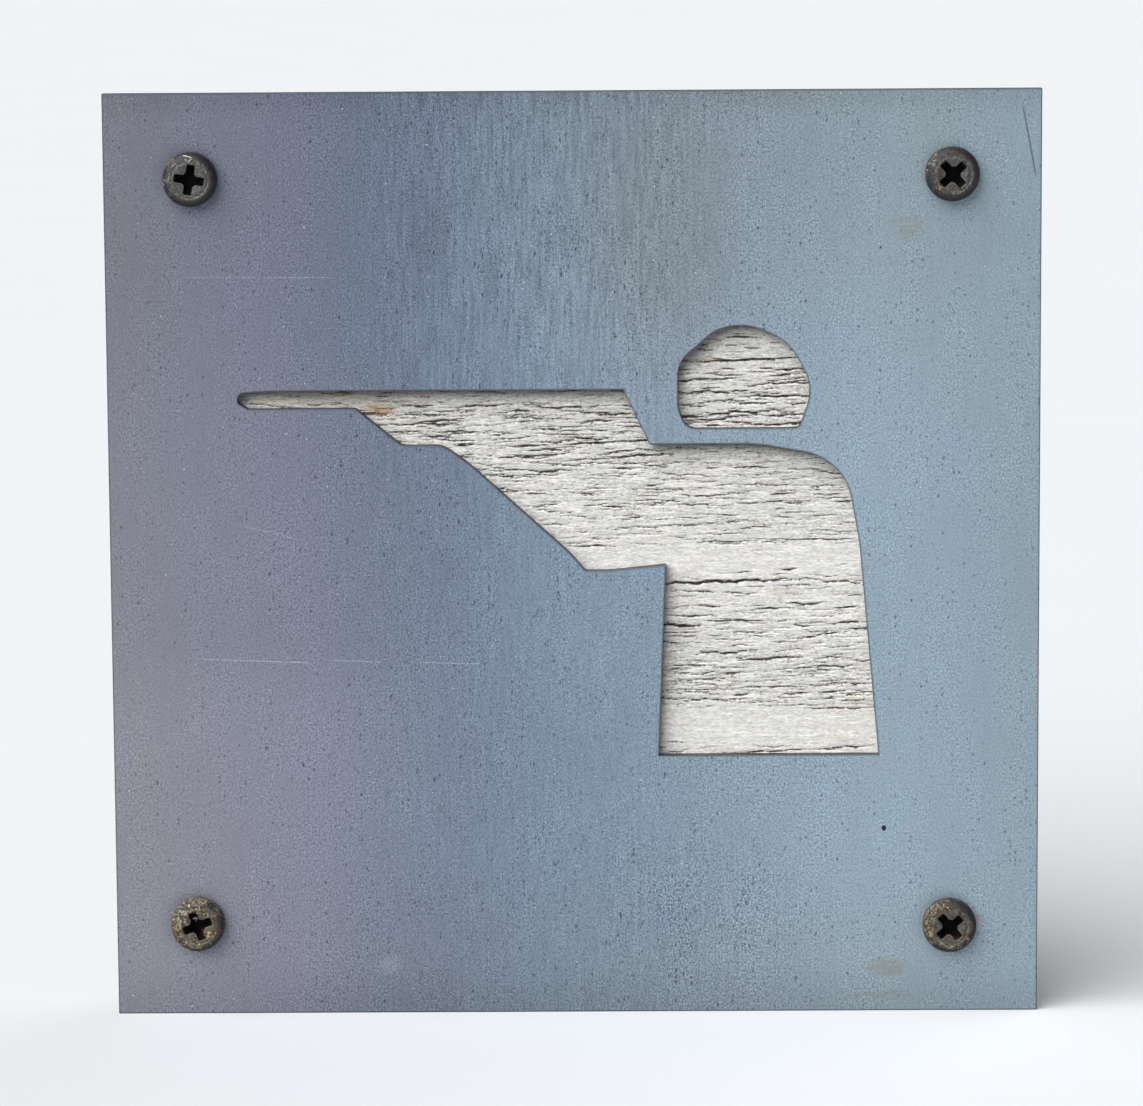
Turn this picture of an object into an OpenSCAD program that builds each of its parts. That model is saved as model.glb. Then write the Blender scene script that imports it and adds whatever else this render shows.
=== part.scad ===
// Square steel sign with a cut-out marksman, screwed to a painted wooden board.
// The front faces -Y. The origin is the middle of the board's underside.

/* [Plate] */
// Width of the steel plate
plate_w = 150; // [130:1:240]
// Height of the steel plate
plate_h = 150; // [120:1:240]
// Thickness of the sheet steel
plate_t = 2; // [1:0.5:4]

/* [Board] */
// Thickness of the wooden backing board
board_t = 12; // [9:0.5:25]
// How far the plate overhangs the board at both sides and at the top
board_inset = 2; // [0:0.5:5]
// Wood left beyond the tip of a screw or a nail
wood_beyond_tip = 2; // [1:0.5:3]

/* [Gun and arm] */
// Length of the gun along its top edge
gun_len = 62; // [54:0.5:70]
// Height of the bare barrel
barrel_h = 2.85; // [2:0.05:4]
// Length of the bare barrel, from the muzzle to the hand
barrel_len = 19; // [12:0.5:24]
// Height of the gun's top edge above the shoulder line
sight_rise = 8.85; // [6.5:0.05:11]
// How far the butt leans back from its top corner to its foot
butt_lean = 4.2; // [1:0.1:7]
// Length of the slope from the barrel down to the hand
hand_slope = 7.4; // [4:0.1:10]
// Length of the hand's flat underside
palm_len = 6.6; // [4:0.1:9]
// Length of the wrist's bend, along the gun
wrist_len = 4.2; // [2:0.1:6]
// Depth of the wrist's bend
wrist_drop = 3; // [1.5:0.1:4]
// Depth of the elbow below the shoulder line
arm_drop = 20.5; // [17:0.1:24]
// Distance of the elbow in front of the butt's foot
elbow_reach = 10.4; // [7:0.1:13]
// Length of the cut across the elbow's tip, along the gun
elbow_cut_len = 2.3; // [1:0.1:4]
// Height of the cut across the elbow's tip
elbow_cut_h = 2.75; // [1.2:0.05:4]
// Length of the elbow's flat underside
elbow_flat = 4; // [2:0.1:6]
// How much higher the armpit lies than the elbow
armpit_rise = 0.9; // [0:0.1:3]
// Distance of the armpit behind the butt's foot
armpit_set = 2.6; // [1:0.1:5]

/* [Torso] */
// Height of the shoulder line above the hem
torso_h = 50.8; // [44:0.1:58]
// Width of the torso at the hem
hem_w = 35.6; // [33:0.1:42]
// How far the chest edge leans back from the hem up to the armpit
chest_lean = 1.25; // [0:0.05:3]
// Distance of the nape behind the butt's foot, where the shoulder starts to fall
nape_set = 17.2; // [12:0.1:21]
// Distance of the shoulder's corner behind the butt's foot
shoulder_w = 31.4; // [28:0.1:33]
// Fall of the shoulder from the nape to its corner
shoulder_fall = 2.5; // [1:0.1:4]
// Depth of the back's bend below the shoulder line
back_drop = 16.4; // [13:0.1:24]
// How far the back's bend lies in from the end of the hem
back_lean = 3.1; // [2:0.1:4]

/* [Head] */
// Width of the head
head_w = 21.1; // [17:0.1:24]
// Height of the head
head_h = 16.5; // [13:0.5:20]
// Steel left between the shoulder line and the chin
neck_gap = 2.5; // [1.5:0.1:5]
// Distance of the face behind the butt's foot
face_set = 4.6; // [1:0.1:8]

/* [Roundings] */
// Radius of the muzzle's upper corner
muzzle_r = 1.3; // [0.6:0.1:1.3]
// Radius of the muzzle's lower corner and of the barrel's root
barrel_r = 0.6; // [0.2:0.1:0.8]
// Radius of the hand's corner
hand_r = 2; // [0.5:0.1:3]
// Radius of the wrist's upper bend
wrist_r = 4; // [1:0.5:6]
// Radius of the elbow's lower corner
elbow_r = 1.2; // [0.4:0.1:2]
// Radius of the shoulder's corner
shoulder_r = 9.5; // [5:0.5:12]
// Radius of the slight bends in the sleeve, the nape and the back
bend_r = 30; // [15:1:40]

/* [Place of the figure] */
// How far the figure's middle lies right of the plate's middle
figure_right = -2.45; // [-8:0.05:8]
// How far the figure's middle lies above the plate's middle
figure_up = 2.35; // [-6:0.05:6]

/* [Screws] */
// Distance from the plate's edges to the even places of the screws
screw_inset = 14; // [9:0.5:20]
// The most that a hand-drilled hole strays from its even place
drill_stray = 1.1; // [0:0.1:1.5]
// Outer diameter of the screw's thread
screw_d = 4.5; // [3:0.1:5]
// Diameter of the pan head
screw_head_d = 8.7; // [8:0.1:10]
// Height of the pan head
screw_head_h = 2.8; // [2.4:0.1:3.5]
// Radius of the pan head's rounded rim
screw_rim_r = 1.4; // [0.8:0.1:2]
// Length of the screw's pointed tip
screw_tip_len = 4; // [2:0.5:5]
// Span of the cross recess
recess_span = 4.8; // [4:0.1:5]
// Width of a wing of the cross recess
recess_wing_w = 1.1; // [0.8:0.1:1.4]
// Depth of the cross recess
recess_depth = 2.1; // [1.5:0.1:2.2]
// Play of the screw in the plate's hole, across the diameter
plate_hole_play = 0.5; // [0.2:0.1:1]

/* [Hanger] */
// Length of the sawtooth hanger
hanger_len = 45; // [38:1:60]
// Height of the hanger's strip
hanger_h = 9; // [8:0.5:12]
// Thickness of the hanger's strip
hanger_t = 0.8; // [0.5:0.1:1]
// Room between the hanger's raised middle and the wood
hanger_lift = 1.6; // [1.2:0.1:1.8]
// Length of the flat foot at each end of the hanger
hanger_foot = 7; // [5:0.5:8]
// Pitch of the hanger's teeth
tooth_pitch = 2; // [1.5:0.1:3]
// Depth of the notches between the teeth
tooth_h = 1.3; // [0.8:0.1:2]
// Distance from the plate's top edge to the hanger's top edge
hanger_drop = 18; // [12:1:30]

/* [Hanger pocket] */
// Depth of the pocket routed into the back of the board
pocket_depth = 3; // [3:0.1:4]
// Room between the hanger and the pocket's sides and top
pocket_gap = 3; // [1:0.5:5]
// Room below the hanger for the head of a wall nail
pocket_room = 8; // [6:0.5:12]
// Radius of the router bit that cuts the pocket
pocket_r = 5; // [3:0.5:6]

/* [Nails] */
// Diameter of the hanger nails' shanks
nail_d = 1.5; // [1:0.1:1.8]
// Diameter of the hanger nails' heads
nail_head_d = 3.2; // [2.6:0.1:4]
// Thickness of the hanger nails' heads
nail_head_t = 0.6; // [0.4:0.1:0.8]
// Length of the hanger nails' points
nail_tip_len = 2; // [1:0.5:2.5]
// Play of a nail in the hanger's hole, across the diameter
nail_hole_play = 0.4; // [0.2:0.1:0.6]
// Play of a screw or nail in the wood, across the diameter
wood_play = 0.1; // [0.05:0.05:0.2]

/* [Hidden] */
$fn = 64;
// Straight stretches in each rounded corner of an outline
corner_steps = 10;
// How far a cutter runs past the face it cuts
cut = 1;
// Flat left at the point of a screw or nail, as a share of its diameter
point_share = 0.1;
// Sides of the recess's square core and radius of its floor, as shares of a wing's width
recess_core = 1.9;
recess_floor = 0.8;

// Faces of the stack, from front to back
board_front = -board_t / 2;
board_back = board_t / 2;
plate_front = board_front - plate_t;
pocket_floor = board_back - pocket_depth;
board_w = plate_w - 2 * board_inset;
board_h = plate_h - board_inset;

// Screws and nails stop short of the far face of the board
screw_len = plate_t + board_t - wood_beyond_tip;
nail_len = hanger_t + pocket_floor - board_front - wood_beyond_tip;

// The hanger's nails stand in the middle of its feet
hanger_top = plate_h - hanger_drop;
hanger_bottom = hanger_top - hanger_h;
nail_x = (hanger_len - hanger_foot) / 2;
nail_z = (hanger_top + hanger_bottom) / 2;

// The four screws, upper left, upper right, lower left and lower right
screw_side = [-1, 1, -1, 1];
screw_row = [1, 1, 0, 0];
// Right and up, the share of the stray that each of their holes has
hole_stray = [[0, 0.3], [-0.3, 0.45], [-0.65, 1], [-0.35, 0.35]];
// Turn of each cross recess, counter-clockwise from the front
recess_turn = [-8.5, 42, 21, 40];

// Places in the figure, right from the muzzle and up from the hem
gun_top = torso_h + sight_rise;
hand_x = barrel_len + hand_slope;
palm_x = hand_x + palm_len;
foot_x = gun_len + butt_lean;
elbow_x = foot_x - elbow_reach;
elbow_y = torso_h - arm_drop;
armpit_x = foot_x + armpit_set;
chest_x = armpit_x - chest_lean;
hem_x = chest_x + hem_w;
figure_h = torso_h + neck_gap + head_h;

// Middles of the figure, put at the plate's middle before it is shifted
figure_x = figure_right - hem_x / 2;
figure_z = figure_up + (plate_h - figure_h) / 2;

// Corners of the muzzle, back and down as shares of the barrel's height, with radii
muzzle_corners = [
    [0.6, 1, barrel_r],
    [0, 0.63, barrel_r],
    [0.08, 0.1, muzzle_r],
    [1.75, 0, bend_r],
];

// Corners of the muzzle, gun, torso and arm, each with its radius
figure_corners = [
    for (c = muzzle_corners) [c.x * barrel_h, gun_top - c.y * barrel_h, c.z],
    [gun_len, gun_top, 0],
    [foot_x, torso_h, 0],
    [foot_x + nape_set, torso_h, bend_r],
    [foot_x + shoulder_w, torso_h - shoulder_fall, shoulder_r],
    [hem_x - back_lean, torso_h - back_drop, bend_r],
    [hem_x, 0, 0],
    [chest_x, 0, 0],
    [armpit_x, elbow_y + armpit_rise, 0],
    [elbow_x + elbow_flat, elbow_y, bend_r],
    [elbow_x, elbow_y, elbow_r],
    [elbow_x - elbow_cut_len, elbow_y + elbow_cut_h, bend_r],
    [palm_x + wrist_len, torso_h - wrist_drop, bend_r],
    [palm_x, torso_h, wrist_r],
    [hand_x, torso_h, hand_r],
    [barrel_len, gun_top - barrel_h, barrel_r],
];

// Corners of the head as shares of its width and height, with radii as shares of its width
head_corners = [
    [0.545, 1.015, 0.405],
    [0.85, 0.845, 0.465],
    [1.035, 0.39, 0.365],
    [0.925, 0, 0.05],
    [0.06, 0, 0.13],
    [0, 0.21, 0.33],
    [0.005, 0.65, 0.22],
    [0.305, 0.98, 0.315],
];

// Points of the arc that rounds the corner p between its neighbours a and b
function corner_arc(a, p, b, r) =
    let (
        to_a = (a - p) / norm(a - p),
        to_b = (b - p) / norm(b - p),
        half = acos(to_a * to_b) / 2,
        reach = min(r / tan(half), norm(a - p) * 0.48, norm(b - p) * 0.48),
        radius = reach * tan(half),
        centre = p + (to_a + to_b) / norm(to_a + to_b) * radius / sin(half),
        first = p + to_a * reach - centre,
        last = p + to_b * reach - centre,
        start = atan2(first.y, first.x),
        turn = (atan2(last.y, last.x) - start + 540) % 360 - 180
    )
    [
        for (i = [0 : corner_steps])
            let (angle = start + turn * i / corner_steps)
            centre + radius * [cos(angle), sin(angle)]
    ];

// Points of a closed outline whose corners are [x, y, radius]
function rounded(corners) =
    let (
        n = len(corners),
        at = [for (c = corners) [c.x, c.y]]
    )
    [
        for (i = [0 : n - 1])
            each corners[i].z == 0
                ? [at[i]]
                : corner_arc(at[(i + n - 1) % n], at[i], at[(i + 1) % n], corners[i].z)
    ];

// Place of a screw's axis on the plate
function screw_place(i) =
    let (
        x = screw_side[i] * (plate_w / 2 - screw_inset),
        z = screw_row[i] ? plate_h - screw_inset : screw_inset
    )
    [x, z] + hole_stray[i] * drill_stray;

// Extrudes a flat outline, drawn as seen from the front, from one depth to another
module slab(from, to)
    translate([0, to, 0])
        rotate([90, 0, 0])
            linear_extrude(to - from)
                children();

// A round bar along the depth, from the front radius r1 to the back radius r2
module bar(x, z, from, to, r1, r2)
    translate([x, to, z])
        rotate([90, 0, 0])
            cylinder(h = to - from, r1 = r2, r2 = r1);

module figure_outline()
    translate([figure_x, figure_z]) {
        polygon(rounded(figure_corners));
        translate([foot_x + face_set, torso_h + neck_gap])
            polygon(rounded([
                for (c = head_corners) [c.x * head_w, c.y * head_h, c.z * head_w]
            ]));
    }

module steel_plate()
    color("slategray")
        difference() {
            slab(plate_front, board_front)
                difference() {
                    translate([-plate_w / 2, 0])
                        square([plate_w, plate_h]);
                    figure_outline();
                }
            for (i = [0 : 3])
                let (
                    at = screw_place(i),
                    r = (screw_d + plate_hole_play) / 2
                )
                bar(at.x, at.y, plate_front - cut, board_front + cut, r, r);
        }

module pocket_outline()
    let (
        side = hanger_len / 2 + pocket_gap,
        top = hanger_top + pocket_gap,
        bottom = hanger_bottom - pocket_room
    )
    polygon(rounded([
        [-side, top, pocket_r],
        [side, top, pocket_r],
        [side, bottom, pocket_r],
        [-side, bottom, pocket_r],
    ]));

module backing_board()
    color("antiquewhite")
        difference() {
            slab(board_front, board_back)
                translate([-board_w / 2, 0])
                    square([board_w, board_h]);
            slab(pocket_floor, board_back + cut)
                pocket_outline();
            for (i = [0 : 3])
                let (
                    at = screw_place(i),
                    r = (screw_d + wood_play) / 2,
                    end = plate_front + screw_len + wood_play
                )
                bar(at.x, at.y, board_front - cut, end, r, r);
            for (side = [-1, 1])
                let (
                    r = (nail_d + wood_play) / 2,
                    end = pocket_floor + hanger_t - nail_len - wood_play
                )
                bar(side * nail_x, nail_z, end, pocket_floor + cut, r, r);
        }

// A cross whose inner corners are cut off, as wide as the driver's wings
module recess_outline()
    for (turn = [0 : 45 : 135])
        rotate(turn)
            square(
                turn % 90 == 0
                    ? [recess_span + cut, recess_wing_w]
                    : [recess_wing_w, recess_wing_w] * recess_core,
                center = true
            );

// The recess narrows to the depth as a driver's tip does
module recess()
    let (
        h = recess_depth + cut,
        floor_r = recess_wing_w * recess_floor,
        widening = (recess_span / 2 - floor_r) / recess_depth
    )
    translate([0, 0, screw_head_h - recess_depth])
        intersection() {
            linear_extrude(h)
                recess_outline();
            cylinder(h = h, r1 = floor_r, r2 = floor_r + widening * h);
        }

// A pan-head wood screw along +Z, with the underside of its head at zero
module screw()
    difference() {
        union() {
            rotate_extrude() {
                square([screw_head_d / 2 - screw_rim_r, screw_head_h]);
                square([screw_head_d / 2, screw_head_h - screw_rim_r]);
                translate([screw_head_d / 2 - screw_rim_r, screw_head_h - screw_rim_r])
                    intersection() {
                        circle(screw_rim_r);
                        square(screw_rim_r);
                    }
            }
            translate([0, 0, screw_tip_len - screw_len])
                cylinder(h = screw_len - screw_tip_len, d = screw_d);
            translate([0, 0, -screw_len])
                cylinder(h = screw_tip_len, d1 = screw_d * point_share, d2 = screw_d);
        }
        recess();
    }

module plate_screw(i)
    color("dimgray")
        translate([screw_place(i).x, plate_front, screw_place(i).y])
            rotate([90, 0, 0])
                rotate(recess_turn[i])
                    screw();

// The strip seen from above: two flat feet and a raised middle between steep steps
module hanger_profile()
    let (
        end = hanger_len / 2,
        step_x = end - hanger_foot,
        top_x = step_x - hanger_lift,
        rise = hanger_lift,
        t = hanger_t,
        slant = t * tan(22.5)
    )
    polygon([
        [-end, 0],
        [slant - step_x, 0],
        [slant - top_x, rise],
        [top_x - slant, rise],
        [step_x - slant, 0],
        [end, 0],
        [end, t],
        [step_x, t],
        [top_x, rise + t],
        [-top_x, rise + t],
        [-step_x, t],
        [-end, t],
    ]);

// Notches along the lower edge of the raised middle
module hanger_notches()
    let (
        span = hanger_len - 2 * (hanger_foot + hanger_lift),
        count = floor(span / tooth_pitch)
    )
    for (i = [0 : count - 1])
        translate([(i - (count - 1) / 2) * tooth_pitch, hanger_bottom])
            polygon([
                [-tooth_pitch / 2, -cut],
                [-tooth_pitch / 2, 0],
                [0, tooth_h],
                [tooth_pitch / 2, 0],
                [tooth_pitch / 2, -cut],
            ]);

module sawtooth_hanger()
    color("silver")
        difference() {
            translate([0, pocket_floor, hanger_bottom])
                linear_extrude(hanger_h)
                    hanger_profile();
            slab(pocket_floor - cut, board_back + cut)
                hanger_notches();
            for (side = [-1, 1])
                let (r = (nail_d + nail_hole_play) / 2)
                bar(side * nail_x, nail_z, pocket_floor - cut, pocket_floor + hanger_t + cut, r, r);
        }

module hanger_nail(side)
    let (
        seat = pocket_floor + hanger_t,
        shank = nail_d / 2,
        head = nail_head_d / 2
    )
    color("lightsteelblue") {
        bar(side * nail_x, nail_z, seat, seat + nail_head_t, head, head);
        bar(side * nail_x, nail_z, seat - nail_len + nail_tip_len, seat, shank, shank);
        bar(
            side * nail_x, nail_z, seat - nail_len, seat - nail_len + nail_tip_len,
            shank * point_share, shank
        );
    }

steel_plate();
backing_board();
plate_screw(0);  // screw_upper_left
plate_screw(1);  // screw_upper_right
plate_screw(2);  // screw_lower_left
plate_screw(3);  // screw_lower_right
sawtooth_hanger();
hanger_nail(-1);  // hanger_nail_left
hanger_nail(1);  // hanger_nail_right
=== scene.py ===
"""Looks of a square steel sign: a cut-out marksman over a crackled, painted board.

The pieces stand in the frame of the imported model: the front faces -Y, +Z is up, and the origin
is the middle of the board's underside. New pieces are shaped in millimetres and brought to
metres when they are finished, and the finishes are written in millimetres of the same frame.
"""

import logging
import math
import random
from dataclasses import dataclass, field
from enum import Enum
from typing import Callable, Sequence

import bmesh
import bpy
import numpy as np
from mathutils import Matrix, Vector


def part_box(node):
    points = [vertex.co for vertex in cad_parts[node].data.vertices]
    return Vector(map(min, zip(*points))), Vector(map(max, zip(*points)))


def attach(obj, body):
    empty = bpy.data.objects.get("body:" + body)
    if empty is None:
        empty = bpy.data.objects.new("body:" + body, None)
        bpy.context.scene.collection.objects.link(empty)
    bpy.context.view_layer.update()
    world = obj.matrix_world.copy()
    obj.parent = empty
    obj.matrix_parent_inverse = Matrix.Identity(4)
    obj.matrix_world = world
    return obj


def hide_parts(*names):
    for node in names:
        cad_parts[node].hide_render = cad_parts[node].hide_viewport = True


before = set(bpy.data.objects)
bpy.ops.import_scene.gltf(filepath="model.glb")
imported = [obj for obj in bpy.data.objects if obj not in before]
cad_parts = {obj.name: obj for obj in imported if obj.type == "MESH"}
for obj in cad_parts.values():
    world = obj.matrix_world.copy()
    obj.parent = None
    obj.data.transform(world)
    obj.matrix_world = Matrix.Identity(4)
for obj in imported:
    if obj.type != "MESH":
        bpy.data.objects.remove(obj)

MM = 0.001
FRONT = Vector((0, -1, 0))
BACK = Vector((0, 1, 0))
UP = Vector((0, 0, 1))
# Places nearer to each other than this count as one, in millimetres
CLOSE = 0.01

log = logging.getLogger("sign")


def span(node: str) -> tuple[Vector, Vector]:
    """Lowest and highest corners of a CAD node, in millimetres."""
    low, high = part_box(node)
    return low / MM, high / MM


def axis_of(node: str) -> tuple[float, float]:
    """Right and up place of a screw's or nail's axis, in millimetres."""
    middle = sum(span(node), Vector()) / 2
    return middle.x, middle.z


def near(one: float, other: float) -> bool:
    """Whether two places along one axis count as one."""
    return abs(one - other) < CLOSE


def srgb(red: float, green: float, blue: float) -> tuple[float, ...]:
    """Turns a colour as the eye reads it, 0 to 255, into a linear one.

    Args:
        red: Red, 0 to 255.
        green: Green, 0 to 255.
        blue: Blue, 0 to 255.

    Returns:
        The linear colour with an alpha of 1.
    """
    linear = (((c / 255 + 0.055) / 1.055) ** 2.4 for c in (red, green, blue))
    return (*linear, 1.0)


class Value:
    """A number that varies over a surface. Arithmetic on it adds Math nodes to its graph."""

    def __init__(self, graph: "Graph", socket: bpy.types.NodeSocket) -> None:
        """Wraps an output socket of the graph."""
        self.graph = graph
        self.socket = socket

    def _math(self, operation: str, first: "Term", second: "Term" = 0.0) -> "Value":
        """Adds a Math node and wraps its result."""
        node = self.graph.node("ShaderNodeMath", {"operation": operation}, {0: first, 1: second})
        return Value(self.graph, node.outputs[0])

    def __add__(self, other: "Term") -> "Value":
        """Sum."""
        return self._math("ADD", self, other)

    __radd__ = __add__

    def __sub__(self, other: "Term") -> "Value":
        """Difference."""
        return self._math("SUBTRACT", self, other)

    def __rsub__(self, other: "Term") -> "Value":
        """Difference from a number."""
        return self._math("SUBTRACT", other, self)

    def __mul__(self, other: "Term") -> "Value":
        """Product."""
        return self._math("MULTIPLY", self, other)

    __rmul__ = __mul__

    def __abs__(self) -> "Value":
        """Size without the sign."""
        return self._math("ABSOLUTE", self)

    def most(self, other: "Term") -> "Value":
        """The larger of the two."""
        return self._math("MAXIMUM", self, other)

    def sine(self) -> "Value":
        """Sine of an angle in radians."""
        return self._math("SINE", self)

    def rise(self, low: float, high: float) -> "Value":
        """Goes smoothly from 0 at low to 1 at high."""
        node = self.graph.node(
            "ShaderNodeMapRange",
            {"interpolation_type": "SMOOTHSTEP"},
            {"Value": self, "From Min": low, "From Max": high},
        )
        return Value(self.graph, node.outputs["Result"])

    def fall(self, low: float, high: float) -> "Value":
        """Goes smoothly from 1 at low to 0 at high."""
        return 1 - self.rise(low, high)


Socket = bpy.types.NodeSocket
Term = Value | float
Colour = Socket | tuple[float, ...]


class Graph:
    """The node graph of one finish, read in millimetres of the sign's own frame."""

    def __init__(self, name: str) -> None:
        """Starts an empty material.

        Args:
            name: The material's name.
        """
        self.material = bpy.data.materials.new(name)
        self.material.use_nodes = True
        self.tree = self.material.node_tree
        self.tree.nodes.clear()
        place = self.node("ShaderNodeTexCoord").outputs["Object"]
        self.place = self.vector("SCALE", place, scale=1 / MM)
        axes = self.node("ShaderNodeSeparateXYZ", inputs={0: self.place}).outputs
        self.x, self.y, self.z = (Value(self, axis) for axis in axes)

    def node(self, kind: str, settings: dict | None = None, inputs: dict | None = None) -> bpy.types.Node:
        """Adds a node.

        Args:
            kind: The node's type.
            settings: Its settings, set first. A ramp's stops are pairs of place and colour.
            inputs: Values or links of its sockets, by name or number.

        Returns:
            The node.
        """
        made = self.tree.nodes.new(kind)
        for name, setting in (settings or {}).items():
            if name == "stops":
                self._set_stops(made.color_ramp, setting)
            else:
                setattr(made, name, setting)
        for name, value in (inputs or {}).items():
            source = value.socket if isinstance(value, Value) else value
            if isinstance(source, Socket):
                self.tree.links.new(source, made.inputs[name])
            else:
                made.inputs[name].default_value = source
        return made

    @staticmethod
    def _set_stops(ramp: bpy.types.ColorRamp, stops: Sequence[tuple[float, tuple]]) -> None:
        """Gives a ramp its stops.

        Args:
            ramp: The ramp, with two stops.
            stops: Pairs of place and colour, between 0 and 1 in rising order.
        """
        while len(ramp.elements) < len(stops):
            ramp.elements.new(1.0)
        for element, (at, colour) in zip(ramp.elements, stops):
            element.position = at
            element.color = colour

    def vector(self, operation: str, first: Colour, *others: Colour, scale: Term = 1.0) -> Socket:
        """Adds a Vector Math node.

        Args:
            operation: What it works out.
            first: Its first vector.
            others: Its further vectors.
            scale: Its factor, which only SCALE has.

        Returns:
            The socket of its vector, or of its number where it gives one.
        """
        terms = (first, *others)
        inputs = {i: term[:3] if isinstance(term, tuple) else term for i, term in enumerate(terms)}
        if operation == "SCALE":
            inputs["Scale"] = scale
        made = self.node("ShaderNodeVectorMath", {"operation": operation}, inputs)
        number = operation in ("LENGTH", "DOT_PRODUCT")
        return made.outputs["Value" if number else "Vector"]

    def mix(self, share: Term, under: Colour, over: Colour, blend: str = "MIX") -> Socket:
        """Lays one colour over another.

        Args:
            share: How much of the upper colour shows, 0 to 1.
            under: The lower colour.
            over: The upper colour.
            blend: How the two blend.

        Returns:
            The colour socket.
        """
        settings = {"data_type": "RGBA", "blend_type": blend}
        return self.node("ShaderNodeMix", settings, {0: share, 6: under, 7: over}).outputs[2]

    def dim(self, colour: Colour, factor: Value) -> Socket:
        """Multiplies a colour by a number that varies."""
        return self.vector("SCALE", colour, scale=factor)

    def ramp(self, at: Value, stops: Sequence[tuple[float, tuple]]) -> Socket:
        """Colour of a ramp at a number between 0 and 1."""
        return self.node("ShaderNodeValToRGB", {"stops": stops}, {0: at}).outputs["Color"]

    def _spread(self, stretch: tuple[float, float, float], shift: float, flat: bool) -> Socket:
        """Gives places in a pattern.

        Args:
            stretch: Waves or cells to the millimetre along each axis.
            shift: Moves the pattern.
            flat: Lays it on the front, so that its first two axes count.

        Returns:
            The socket of the places.
        """
        turn = (math.pi / 2 if flat else 0.0, 0.0, 0.0)
        inputs = {"Vector": self.place, "Location": (shift,) * 3, "Rotation": turn, "Scale": stretch}
        return self.node("ShaderNodeMapping", inputs=inputs).outputs[0]

    def noise(
        self,
        per_mm: float | tuple[float, float, float],
        detail: float = 2.0,
        rough: float = 0.5,
        shift: float = 0.0,
        flat: bool = False,
    ) -> Value:
        """Noise around a half.

        Args:
            per_mm: Waves to the millimetre, one number or one for each axis.
            detail: Octaves beyond the first.
            rough: Share that each octave has of the one before.
            shift: Moves the pattern, so that two noises differ.
            flat: Whether it varies over the front alone, not through the piece.

        Returns:
            The noise, mostly between 0.2 and 0.8.
        """
        stretch = per_mm if isinstance(per_mm, tuple) else (per_mm,) * 3
        at = self._spread(stretch, shift, flat)
        made = self.node(
            "ShaderNodeTexNoise",
            {"noise_dimensions": "2D" if flat else "3D"},
            {"Vector": at, "Scale": 1.0, "Detail": detail, "Roughness": rough},
        )
        return Value(self, made.outputs[0])

    def grains(
        self, cell: float, share: float, size: float, shift: float, ragged: Value, tall: float = 1.0
    ) -> Value:
        """Scattered small grains on the front, such as pits or specks.

        Args:
            cell: Size of a cell, in millimetres. Each cell can hold a grain.
            share: Share of the cells that hold one.
            size: Largest radius of a grain, as a share of the cell.
            shift: Moves the pattern, so that two scatters differ.
            ragged: A fine noise that frays the grains' outlines.
            tall: How many times as tall as wide they are.

        Returns:
            1 inside a grain and 0 between them.
        """
        at = self._spread((1 / cell, 1 / cell, 1 / (cell * tall)), shift, flat=True)
        settings = {"feature": "F1", "voronoi_dimensions": "2D"}
        made = self.node("ShaderNodeTexVoronoi", settings, {"Vector": at, "Scale": 1.0})
        drawn = self.node("ShaderNodeSeparateColor", inputs={0: made.outputs["Color"]})
        chance = Value(self, drawn.outputs[0])
        room = (chance - (1 - share)) * (size / share) + (ragged - 0.5) * (size * 1.6)
        return (room - Value(self, made.outputs["Distance"])).rise(0.0, size * 0.45)

    def spot(self, x: float, z: float, width: float, height: float, soft: float = 0.8) -> Value:
        """A soft oval on the front.

        Args:
            x: Its middle, to the right.
            z: Its middle, upwards.
            width: Its width.
            height: Its height.
            soft: Share of its radius over which it fades.

        Returns:
            1 in its middle and 0 outside.
        """
        across, up = 2 / width, 2 / height
        at = self.vector("MULTIPLY_ADD", self.place, (across, 0, up), (-x * across, 0, -z * up))
        return Value(self, self.vector("LENGTH", at)).fall(1 - soft, 1.0)

    def line(self, start: tuple[float, float], end: tuple[float, float], width: float) -> Value:
        """A thin straight scratch on the front, fading at both ends.

        Args:
            start: Its start, right and up.
            end: Its end, right and up.
            width: Its width.

        Returns:
            1 along its middle and 0 outside.
        """
        run = Vector(end) - Vector(start)
        length = run.length
        run.normalize()
        along, across = (
            Value(self, self.vector("DOT_PRODUCT", self.place, way))
            for way in ((run.x, 0, run.y), (-run.y, 0, run.x))
        )
        along = along - run.dot(Vector(start))
        off = across - (run.x * start[1] - run.y * start[0])
        inside = along.rise(0.0, length * 0.2) * along.fall(length * 0.85, length)
        return abs(off).fall(width * 0.3, width) * inside

    def attribute(self, name: str) -> Value:
        """A number stored on the mesh's points."""
        made = self.node("ShaderNodeAttribute", {"attribute_name": name})
        return Value(self, made.outputs["Fac"])

    def facing_back(self) -> Value:
        """How far the surface faces back, from -1 at the front to 1."""
        normal = self.node("ShaderNodeNewGeometry").outputs["Normal"]
        return Value(self, self.node("ShaderNodeSeparateXYZ", inputs={0: normal}).outputs["Y"])

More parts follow.
